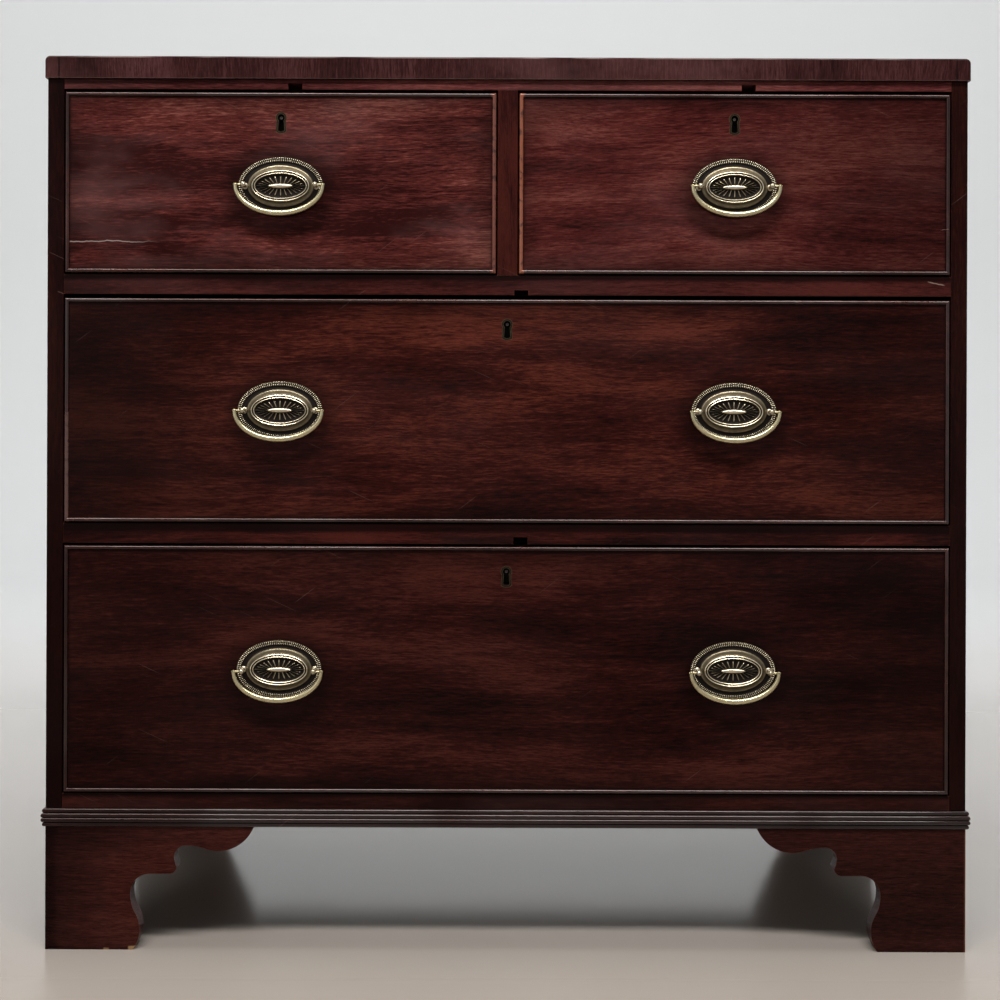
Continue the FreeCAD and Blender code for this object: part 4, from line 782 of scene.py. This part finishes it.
def handle_places(name):
    """Where a drawer's handles are: across, the drawer front's face, and up."""
    low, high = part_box(f"{name}_drawer_handles")
    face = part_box(f"{name}_drawer_front")[0].y
    level = (low.z + high.z) / 2
    if name in ("left", "right"):
        return [Vector(((low.x + high.x) / 2, face, level))]
    half = PLATE_HALF[0] * MM
    return [Vector((low.x + half, face, level)), Vector((high.x - half, face, level))]


# The ring round each plate is wax and painted shadow, centred a little below the plate, where the shadow
# falls.
SHADOW_DROP = Vector((0, 0, -5 * MM))
# How much milky cloud each front shows, which is also its painted sheen: most on the short fronts at the top.
BLOOM_SHEEN_AMOUNT = {"left": 0.5, "right": 0.25, "middle": 0.06, "bottom": 0.03}
SHADED = {"left": (0.0, 0.0), "right": (0.0, 0.5), "middle": (0.76, 0.5), "bottom": (0.4, 0.5)}
NICK = graze(436, 721, 9, 0.8, 0.1, "6e504a")
# Lighter and darker patches on the short fronts: across and up in millimetres, and how far the tone is
# lifted.
TONE_SPOTS = {
    "left": ((-140, 807, 0.2), (-106, 705, -0.2), (-412, 745, -0.17)),
    "right": ((319, 836, 0.09), (102, 722, -0.08)),
}
for count, name in enumerate(DRAWERS):
    low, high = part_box(f"{name}_drawer_front")
    start = (3.1 + count * 1.7, 0.4 + count * 0.31, 1.9 + count * 0.53)
    split = (low.x, low.y, low.z + 31 * MM) if name == "left" else None
    knocks = [NICK] if name == "right" else []
    tone_spots = [((x * MM, low.y, z * MM), lift) for x, z, lift in TONE_SPOTS.get(name, ())]
    WOODS[f"{name}_drawer_front"] = mahogany(
        f"{name}_front_polish", "x", start, FRONT_TONES[name], panel=(tuple(low), tuple(high)),
        shaded=SHADED[name], plates=[tuple(spot + SHADOW_DROP) for spot in handle_places(name)],
        split=split, knocks=knocks, tone_spots=tone_spots, wear=0.3, figure=1.7 if name == "left" else 1.4,
        bloom_sheen_amount=BLOOM_SHEEN_AMOUNT[name])
    low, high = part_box(f"{name}_drawer_beads")
    bared = []
    if name == "left":
        bared = [((high.x - 6 * MM, 0, low.z - 4 * MM), (high.x + 4 * MM, 0, high.z + 4 * MM), "6a3a2e")]
    if name == "right":
        bared = [((low.x - 4 * MM, 0, low.z - 4 * MM), (low.x + 6 * MM, 0, high.z + 4 * MM), "8a4c34")]
    if name == "middle":
        bared = [((low.x - 4 * MM, 0, low.z - 4 * MM), (low.x + 6 * MM, 0, low.z + 110 * MM), "503630")]
    WOODS[f"{name}_drawer_beads"] = mahogany(
        f"{name}_bead_polish", "xz", start, ("080202", "1a0807", "3a1b16"), bared=bared, knocks=knocks,
        wear=0.15, patchy=0.85, bare="7a3f2a", shine=0.34, rough=0.09, coat=0.6, coat_rough=0.07,
        nook=2 * MM, dull=0.05, relief=0.04)
print(len(WOODS), "mahogany finishes")

# %% [markdown]
# Behind and inside, one pine or oak serves many boards, since nobody looks for their figure. The grain
# runs the way each board does: across for dustboards and bottoms, front to back for runners and drawer
# sides, upright for the back. Then every joiner's piece gets its finish.

# %% The hidden woods
PINE_X = bare_wood("pine_across", "x", (0.3, 0.06, 0.02), "8a6441", "50301b", 4 * MM)
PINE_Y = bare_wood("pine_front_to_back", "y", (0.2, 0.05, 0.04), "8a6441", "50301b", 3.5 * MM)
PINE_Z = bare_wood("pine_upright", "z", (0.1, 0.09, 0.05), "7c563a", "4c2f1d", 4.5 * MM, dusty=0.2)
OAK_X = bare_wood("oak_across", "x", (0.4, 0.05, 0.03), "9c7b52", "4f3520", 3.0 * MM, dusty=0.25)
OAK_Y = bare_wood("oak_front_to_back", "y", (0.7, 0.04, 0.05), "9c7b52", "4f3520", 3.6 * MM, dusty=0.25)
for node, wood in (
        ("dustboards", PINE_X), ("runners_and_kickers", PINE_Y), ("drawer_stops", OAK_X),
        ("back_boards", PINE_Z), ("bottom_boards", PINE_X), ("back_foot_braces", PINE_X),
        ("glue_blocks", PINE_Z), ("back_nails", NAIL)):
    WOODS[node] = wood
for name in DRAWERS:
    WOODS[f"{name}_drawer_sides_and_back"] = OAK_Y
    WOODS[f"{name}_drawer_bottom"] = OAK_X
    WOODS[f"{name}_drawer_keyhole"] = LINER
    WOODS[f"{name}_drawer_lock"] = IRON
    WOODS[f"{name}_drawer_bolt"] = STEEL
for node, material in WOODS.items():
    mesh = frame["nodes"][node].data
    mesh.materials.clear()
    mesh.materials.append(material)

# %% [markdown]
# No arris on a real chest is sharp. A plane stroke takes it off when it is new, and hands and dusters
# round it further. A copy of the board's own mesh, with only its long arrises bevelled, catches the
# line of light that says solid wood. Short edges, such as those round a keyhole, stay as they are.

# %% Easing the arrises
def eased(node, width, shortest=6 * MM, sharp=math.radians(40)):
    """Stands a copy with rounded arrises in place of a board."""
    mesh = frame["nodes"][node].data.copy()
    work = bmesh.new()
    work.from_mesh(mesh)
    bmesh.ops.remove_doubles(work, verts=work.verts, dist=0.001 * MM)
    bmesh.ops.dissolve_limit(work, angle_limit=math.radians(0.3), verts=work.verts, edges=work.edges)
    arrises = [
        edge for edge in work.edges
        if edge.is_manifold and edge.calc_face_angle_signed() > sharp and edge.calc_length() > shortest]
    bmesh.ops.bevel(
        work, geom=arrises, offset=width, offset_type="OFFSET", segments=2, profile=0.5,
        affect="EDGES", clamp_overlap=True)
    bmesh.ops.recalc_face_normals(work, faces=work.faces)
    work.to_mesh(mesh)
    work.free()
    mesh.shade_smooth()
    mesh.set_sharp_from_angle(angle=sharp)
    piece = bpy.data.objects.new("eased_" + node, mesh)
    bpy.context.collection.objects.link(piece)
    piece.modifiers.new("even_light", "WEIGHTED_NORMAL").keep_sharp = True
    print(piece.name, len(arrises), "arrises")
    return stand_for(piece, node)


for node in ("side_left", "side_right"):
    eased(node, 0.9 * MM)
for node in ("top_rail", "upper_rail", "middle_rail", "bottom_rail", "drawer_divider"):
    eased(node, 0.35 * MM)
for node in ("front_foot_left", "front_foot_right", "back_foot_left", "back_foot_right"):
    eased(node, 0.8 * MM, shortest=1.5 * MM)
for name in DRAWERS:
    eased(f"{name}_drawer_front", 0.4 * MM)
    eased(f"{name}_drawer_sides_and_back", 0.6 * MM)

# %% [markdown]
# The brasses are where the eye goes. Each is a stamped oval plate: two rows of tiny beads on the rim, a
# dark channel, a domed boss ringed by a double moulding, and in its dish a sunburst about a short bar.
# A die cutter turns such a thing as rings, so it is built as rings here too: ovals of given width,
# height and level, joined one to the next. What repeats round the oval, beads and rays, is a
# change of level along a ring.

# %% Shapes from rings
def ringed(rings, looped=False):
    """Points and faces through rings of equally many points, capped at both ends or looped."""
    count = len(rings[0])
    faces = []
    for i in range(len(rings) if looped else len(rings) - 1):
        here, there = i * count, (i + 1) % len(rings) * count
        for j in range(count):
            k = (j + 1) % count
            faces.append((here + j, here + k, there + k, there + j))
    if not looped:
        faces.append(tuple(reversed(range(count))))
        faces.append(tuple(range((len(rings) - 1) * count, len(rings) * count)))
    return [point for ring in rings for point in ring], faces


def placed(shape, matrix):
    points, faces = shape
    return [(*(matrix @ Vector(point[:3])), point[3]) for point in points], faces


def gathered(name, shapes, material, sharp=math.radians(50)):
    """Shapes in millimetres as one mesh in metres. A point's fourth number is how polished it is."""
    points, faces = [], []
    for more_points, more_faces in shapes:
        faces += [[len(points) + index for index in face] for face in more_faces]
        points += more_points
    mesh = bpy.data.meshes.new(name)
    mesh.from_pydata([[number * MM for number in point[:3]] for point in points], [], faces)
    polish = mesh.attributes.new("polish", "FLOAT", "POINT")
    polish.data.foreach_set("value", [point[3] for point in points])
    work = bmesh.new()
    work.from_mesh(mesh)
    bmesh.ops.recalc_face_normals(work, faces=work.faces)
    work.to_mesh(mesh)
    work.free()
    mesh.shade_smooth()
    mesh.set_sharp_from_angle(angle=sharp)
    mesh.materials.append(material)
    print(name, len(mesh.vertices), "points")
    return mesh


# %% [markdown]
# Beads stamped round an oval are evenly spaced along its edge, and equal steps of angle would crowd
# them at the ends. So the ring's angles are first worked out from the length along the oval. The
# finisher blackened the whole plate and rubbed it bright again on its high places, so each point
# also carries how polished it is: nothing between the beads, and fully on their crowns.

# %% The beaded rim
RIM_FLAT = 1.4
BEAD_ROWS = ((0.3, 2.4, 1.0), (2.5, 4.5, 0.95))
BEADS, STEPS_PER_BEAD = 112, 8


def evenly_round(half_width, half_height, count):
    """Angles whose points lie evenly along an oval."""
    fine = 4096
    turns = [2 * math.pi * i / fine for i in range(fine + 1)]
    places = [Vector((half_width * math.cos(t), half_height * math.sin(t))) for t in turns]
    run = [0.0]
    for here, there in zip(places, places[1:]):
        run.append(run[-1] + (there - here).length)
    angles, k = [], 0
    for i in range(count):
        wanted = run[-1] * i / count
        while run[k + 1] < wanted:
            k += 1
        angles.append(turns[k] + (turns[k + 1] - turns[k]) * (wanted - run[k]) / (run[k + 1] - run[k]))
    return angles


def beaded_rim():
    angles = evenly_round(*PLATE_HALF, BEADS * STEPS_PER_BEAD)
    swell = [math.sin(math.pi * (i % STEPS_PER_BEAD) / STEPS_PER_BEAD) ** 1.3 for i in range(len(angles))]

    def ring(inset, level, crown=0.0, polish=0.0):
        return [((PLATE_HALF[0] - inset) * math.cos(t), (PLATE_HALF[1] - inset) * math.sin(t),
                 level + crown * up, polish * up ** 1.6 if crown else polish) for t, up in zip(angles, swell)]

    rings = [ring(0.3, 0.0), ring(0.0, 0.6, polish=0.3), ring(0.1, RIM_FLAT, polish=0.5)]
    for outer, inner, proud in BEAD_ROWS:
        for share in (0.05, 0.2, 0.5, 0.8, 0.95):
            rise = math.sqrt(1 - (2 * share - 1) ** 2)
            rings.append(ring(outer + (inner - outer) * share, RIM_FLAT, proud * rise, rise))
    rings += [ring(4.8, 1.2), ring(5.2, 0.6), ring(5.2, 0.0)]
    return ringed(rings, looped=True)


# %% [markdown]
# Inside the rim the plate is a smooth set of ovals: down to the black channel, up a rounded shoulder,
# over the two fine ridges and down into the dish. There the rays rise, bright at their outer ends and
# fading towards the middle, and the ovals close up into the bar. The two rays on the long axis don't
# fade, so that they draw the bar out to fine points.

# %% Boss, dish and sunburst
BOSS = [
    # half width, half height, level, polish
    (38.2, 24.7, 0.0, 0.0), (38.2, 24.7, 1.0, 0.0), (36.5, 23.6, 0.95, 0.0), (33.8, 21.7, 1.0, 0.0),
    (33.2, 21.2, 1.3, 0.15), (32.8, 20.8, 2.0, 0.35), (32.2, 20.1, 2.55, 0.6), (31.5, 19.3, 2.75, 0.5),
    (30.5, 17.9, 2.9, 0.36), (29.6, 16.7, 3.3, 0.3), (28.9, 15.8, 3.9, 0.34), (28.6, 15.4, 4.35, 0.8),
    (28.1, 14.9, 4.6, 1.0), (27.6, 14.4, 4.35, 0.6), (27.2, 14.0, 3.7, 0.0), (26.7, 13.6, 3.7, 0.0),
    (26.3, 13.2, 4.25, 0.6), (25.8, 12.7, 4.5, 1.0), (25.3, 12.2, 4.2, 0.6), (24.9, 11.8, 3.2, 0.1),
    (24.5, 11.4, 2.2, 0.0),
]
BAR = [
    (12.8, 2.6, 2.1, 0.2), (12.5, 2.4, 3.0, 0.55), (12.1, 2.0, 3.8, 0.75), (11.5, 1.4, 4.3, 0.85),
    (10.8, 0.7, 4.55, 0.85), (10.2, 0.2, 4.6, 0.85),
]
RAYS, RAY_STEPS = 24, 16
DISH_RINGS = 14
RAY_HEIGHT = 1.6


def boss_and_sunburst():
    turns = [2 * math.pi * i / (RAYS * RAY_STEPS) for i in range(RAYS * RAY_STEPS)]
    ray = [max(0.0, math.cos(RAYS * t)) ** 2.6 for t in turns]
    on_axis = [abs(math.cos(t)) > math.cos(math.pi / RAYS) for t in turns]

    def oval(half_width, half_height, level, polish):
        return [(half_width * math.cos(t), half_height * math.sin(t), level, polish) for t in turns]

    rings = [oval(*row) for row in BOSS]
    outer, inner = BOSS[-1], BAR[0]
    for i in range(1, DISH_RINGS):
        share = i / DISH_RINGS
        rise = min(1.0, max(0.0, (share - 0.1) / 0.3)) * (1.1 - 0.6 * share)
        width, height = (a + (b - a) * share for a, b in zip(outer[:2], inner[:2]))
        sunk = 1.9 - 0.3 * math.sin(math.pi * share)
        ring = []
        for t, lift, axis in zip(turns, ray, on_axis):
            lift *= 0.9 if axis else rise
            polish = 1.6 * lift
            ring.append((width * math.cos(t), height * math.sin(t), sunk + RAY_HEIGHT * lift, polish))
        rings.append(ring)
    rings += [oval(*row) for row in BAR]
    return ringed(rings)


# %% [markdown]
# The posts are turned on a lathe: a collar, a thin neck and a ball with a hole for the bail's pin. Each
# shank goes right through the drawer front to a square nut. A turned piece is rings about one line.

# %% Turned posts, shanks and nuts
POST_HALF_SPACING = 35.5
PIVOT_REACH = 14.0
BALL = 2.9
POST = [
    # radius, height above the drawer front
    (2.0, -26.0), (2.0, 0.6), (3.1, 0.9), (3.3, 1.5), (2.9, 2.1), (2.0, 2.5), (1.75, 4.5), (1.8, 8.0),
    (2.3, 10.2), (2.6, 10.8), (2.1, 11.3),
]
NUT = ((5.7, 1.2, -20.05), (6.0, 1.0, -20.4), (6.0, 1.0, -22.5), (5.4, 1.6, -23.0))


def turned(profile, polish, steps=20):
    turns = [2 * math.pi * i / steps for i in range(steps)]
    return ringed([[(radius * math.cos(t), radius * math.sin(t), level, polish) for t in turns]
                   for radius, level in profile])


def post():
    ball = [(BALL * math.sin(math.pi * i / 12), PIVOT_REACH - BALL * math.cos(math.pi * i / 12))
            for i in range(3, 12)]
    return turned(POST + ball, 0.72)


def nut():
    """A filed square nut, its corners knocked off."""
    rings = []
    for half, corner, level in NUT:
        near = half - corner
        corners = ((half, near), (near, half), (-near, half), (-half, near),
                   (-half, -near), (-near, -half), (near, -half), (half, -near))
        rings.append([(x, y, level, 0.3) for x, y in corners])
    return ringed(rings)


# %% [markdown]
# All six plates came from one pair of dies, so they share one mesh. It is built lying flat, with its two
# posts and nuts, turned upright, and stood at each handle's place.

# %% Six plates from one die
def plate_mesh():
    shapes = [beaded_rim(), boss_and_sunburst()]
    for side in (-1, 1):
        across = Matrix.Translation((side * POST_HALF_SPACING, 0, 0))
        shapes += [placed(post(), across), placed(nut(), across)]
    whole = gathered("handle_plate", shapes, BRASS)
    whole.transform(Matrix.Rotation(math.radians(90), 4, "X"))
    return whole


PLATE = plate_mesh()
for name in DRAWERS:
    for side, place in zip(("left", "right"), handle_places(name)):
        piece = bpy.data.objects.new(f"{name}_drawer_{side}_plate", PLATE)
        bpy.context.collection.objects.link(piece)
        piece.location = place
        stand_for(piece, f"{name}_drawer_handles")

# %% [markdown]
# The bails were cast and filed by hand, so no two are quite alike. Each is a swelling rod bent to half an
# oval. Its thickness wavers by a few hundredths, from a seeded noise, and at each end it closes round a pin
# that runs in through the ball and shows as a short stub outside.

# %% Bails
BAIL_HALF, BAIL_DROP = 43.2, 28.2
GRIP, TIP = 3.05, 1.9
PIN = 1.2
PIN_PROFILE = ((0.6, 32.4), (PIN, 32.9), (PIN, 44.9), (1.0, 45.2), (0.5, 45.4))
BAIL_STEPS, ROD_STEPS = 80, 20


def bail_mesh(name, seed):
    rings = []
    for i in range(BAIL_STEPS + 1):
        t = math.pi * i / BAIL_STEPS
        centre = Vector((BAIL_HALF * math.cos(t), 0, -BAIL_DROP * math.sin(t)))
        outward = Vector((math.cos(t) / BAIL_HALF, 0, -math.sin(t) / BAIL_DROP)).normalized()
        waver = noise.noise(Vector((seed * 7.3, t * 1.7, 0.5)))
        radius = (TIP + (GRIP - TIP) * math.sin(t) ** 0.8) * (0.98 + 0.015 * waver)
        ring = []
        for j in range(ROD_STEPS):
            turn = 2 * math.pi * j / ROD_STEPS
            across = outward * math.cos(turn) + Vector((0, 1, 0)) * math.sin(turn)
            ring.append((*(centre + across * radius), 0.66 - 0.3 * math.sin(turn)))
        rings.append(ring)
    shapes = [ringed(rings)]
    knuckle = [(TIP * math.sin(math.pi * i / 10), -TIP * math.cos(math.pi * i / 10)) for i in range(1, 10)]
    for side in (-1, 1):
        shapes.append(placed(turned(PIN_PROFILE, 0.8), Matrix.Rotation(side * math.pi / 2, 4, "Y")))
        shapes.append(placed(turned(knuckle, 0.7), Matrix.Translation((side * BAIL_HALF, 0, 0))))
    return gathered(name, shapes, BAIL_BRASS)


bail_nodes = sorted(node for node in frame["nodes"] if "_bail" in node)
for seed, node in enumerate(bail_nodes):
    low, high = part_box(node)
    drawer = node.split("_")[0]
    piece = bpy.data.objects.new("cast_" + node, bail_mesh("cast_" + node, seed))
    bpy.context.collection.objects.link(piece)
    spot = handle_places(drawer)[0]
    piece.location = ((low.x + high.x) / 2, spot.y - PIVOT_REACH * MM, spot.z)
    stand_for(piece, node)
print(len(bail_nodes), "bails")

# %% [markdown]
# The studio: a pale floor that turns up into a pale wall well behind the chest, so that no corner
# shows. It is one sheet swept through a large quarter round.

# %% Floor and wall
STAGE_HALF, STAGE_FRONT = 12.0, -14.0
WALL_Y, WALL_TOP, SWEEP = 3.6, 5.0, 1.1
SWEEP_STEPS = 16


def stage_sheet():
    profile = [(STAGE_FRONT, 0.0), (-2.0, 0.0), (0.0, 0.0)]
    for i in range(SWEEP_STEPS + 1):
        turn = math.pi / 2 * i / SWEEP_STEPS
        profile.append((WALL_Y - SWEEP + SWEEP * math.sin(turn), SWEEP - SWEEP * math.cos(turn)))
    profile.append((WALL_Y, WALL_TOP))
    points = [(side * STAGE_HALF, y, z) for y, z in profile for side in (-1, 1)]
    faces = [(2 * i, 2 * i + 1, 2 * i + 3, 2 * i + 2) for i in range(len(profile) - 1)]
    mesh = bpy.data.meshes.new("studio_sheet")
    mesh.from_pydata(points, [], faces)
    mesh.shade_smooth()
    sheet = bpy.data.objects.new("studio_sheet", mesh)
    bpy.context.collection.objects.link(sheet)
    return sheet


# %% [markdown]
# Far from the lamps the sheet would go dark when the chest is seen from the side or from behind. There
# it fades to the world's own pale tone, but only for a ray that looks at it, straight, in a mirror or
# through glass. So brass and polish show the pale room, and no light falls from it on the chest. The
# floor is duller before the chest than under it, where it was mopped and mirrors the feet.

# %% Paper and rays that look
FLOOR_DARK, FLOOR_LIGHT, WALL_TONE, DISTANT, NOTHING = (
    shade(code) for code in ("9c9085", "a2978c", "dfe0e0", "b7bbbf", "000000"))


def looking_rays(bench):
    """One for a ray that looks, straight, in a mirror or through glass, and nothing for light."""
    path = bench.put("ShaderNodeLightPath").outputs
    mirrored = bench.maths("MAXIMUM", path["Is Glossy Ray"], path["Is Transmission Ray"])
    return bench.maths("MAXIMUM", path["Is Camera Ray"], mirrored)


def stage_finish():
    material, bench, shader, place = finish("studio_paper")
    across, depth, _ = bench.put("ShaderNodeSeparateXYZ", {0: place}).outputs
    away = bench.put("ShaderNodeVectorMath", {0: bench.stretch(place, 1, 1, 0)}, operation="LENGTH")
    aside = bench.smooth(bench.maths("ABSOLUTE", across), 2.8, 7.0)
    unlit = bench.maths("MAXIMUM", bench.smooth(depth, 0.0, 1.5, 1.0, 0.0), aside)
    remote = bench.maths("MULTIPLY", bench.smooth(away.outputs["Value"], 1.6, 4.6), unlit)
    fading = bench.maths("MULTIPLY", remote, looking_rays(bench))
    far = bench.smooth(depth, -0.8, 2.4)
    mottle = bench.speckle(place, scale=3, detail=4)
    near_tone = bench.blend(bench.smooth(mottle, 0.2, 0.8), FLOOR_DARK, FLOOR_LIGHT)
    lit = bench.blend(far, near_tone, WALL_TONE)
    bench.feed(shader.inputs["Base Color"], bench.blend(fading, lit, NOTHING))
    bench.feed(shader.inputs["Emission Color"], bench.blend(fading, NOTHING, DISTANT))
    shader.inputs["Emission Strength"].default_value = 1.0
    in_front = bench.smooth(depth, -0.45, -0.15, 0.42, 0.15)
    behind = bench.smooth(depth, 0.4, 2.2, 0.15, 0.9)
    bench.feed(shader.inputs["Roughness"], bench.maths("MAXIMUM", in_front, behind))
    shader.inputs["Specular IOR Level"].default_value = 0.5
    mopped = bench.maths("MULTIPLY", bench.smooth(depth, -0.3, -0.1), bench.smooth(depth, 0.3, 0.6, 0.7, 0.0))
    bench.feed(shader.inputs["Coat Weight"], mopped)
    shader.inputs["Coat Roughness"].default_value = 0.15
    return material


sheet = stage_sheet()
sheet.data.materials.append(stage_finish())
sheet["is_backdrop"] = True
print("studio sheet:", len(sheet.data.polygons), "faces")

# %% [markdown]
# One large soft lamp hangs high in front of the chest, so that the brasses throw a short shadow down
# and each bead shows a bright upper edge. A second, weaker lamp opens the shadows, a third lights the
# wall, and the world adds an even grey, paler to a ray that looks than to the wood that it lights.

# %% Lamps and world
AIR_LIGHT, AIR_SEEN = 0.2, 0.7


def soft_lamp(name, place, aim, size, watts, colour=(1, 1, 1)):
    data = bpy.data.lights.new(name, "AREA")
    data.shape = "RECTANGLE"
    data.size, data.size_y = size
    data.energy = watts
    data.color = colour
    lamp = bpy.data.objects.new(name, data)
    bpy.context.collection.objects.link(lamp)
    lamp.location = place
    lamp.rotation_euler = (Vector(aim) - Vector(place)).to_track_quat("-Z", "Y").to_euler()
    return lamp


soft_lamp("overhead", (-0.05, -1.9, 3.3), (0.0, -0.1, 0.45), (2.95, 0.45), 135)
soft_lamp("room_fill", (-2.6, -3.2, 1.6), (0.0, 0.0, 0.5), (2.4, 2.0), 10)
soft_lamp("wall_light", (0.0, -0.2, 4.6), (0.0, 3.6, 0.9), (9.0, 1.4), 170)

world = bpy.data.worlds.new("studio")
bpy.context.scene.world = world
world.use_nodes = True
air = Bench(world.node_tree)
sky = world.node_tree.nodes["Background"].inputs
air.feed(sky["Color"], shade("dfe2e6"))
added = air.maths("MULTIPLY", looking_rays(air), AIR_SEEN - AIR_LIGHT)
air.feed(sky["Strength"], air.maths("ADD", added, AIR_LIGHT))

# %% [markdown]
# The camera stands a step back at the height of the middle drawer, level, so that uprights stay
# upright. The lens is dropped a little, as on a view camera, to bring the feet into the picture.

# %% Camera
IMAGE_WIDTH = 1000
FOCAL_PIXELS = 1500
EYE = (-0.007, -1.718, 0.570)
HORIZON_ROW = 379.5
ROLL = math.radians(0.2)
SENSOR = 36.0

data = bpy.data.cameras.new("view")
data.sensor_width = SENSOR
data.lens = FOCAL_PIXELS / IMAGE_WIDTH * SENSOR
data.shift_y = (HORIZON_ROW - IMAGE_WIDTH / 2) / IMAGE_WIDTH
data.clip_start, data.clip_end = 0.05, 40
camera = bpy.data.objects.new("view", data)
bpy.context.collection.objects.link(camera)
camera.matrix_world = (
    Matrix.Translation(EYE) @ Matrix.Rotation(math.radians(90), 4, "X") @ Matrix.Rotation(ROLL, 4, "Z"))
bpy.context.scene.camera = camera
bpy.context.scene.view_settings.view_transform = "Standard"

# %% [markdown]
# Last, the dressed chest is measured, and its bounds are printed beside the joiner's.

# %% Measure and finish
dressed_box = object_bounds()
for label, box in (("joiner", joiner_box), ("dressed", dressed_box)):
    print(label, [[round(number, 4) for number in corner] for corner in box])
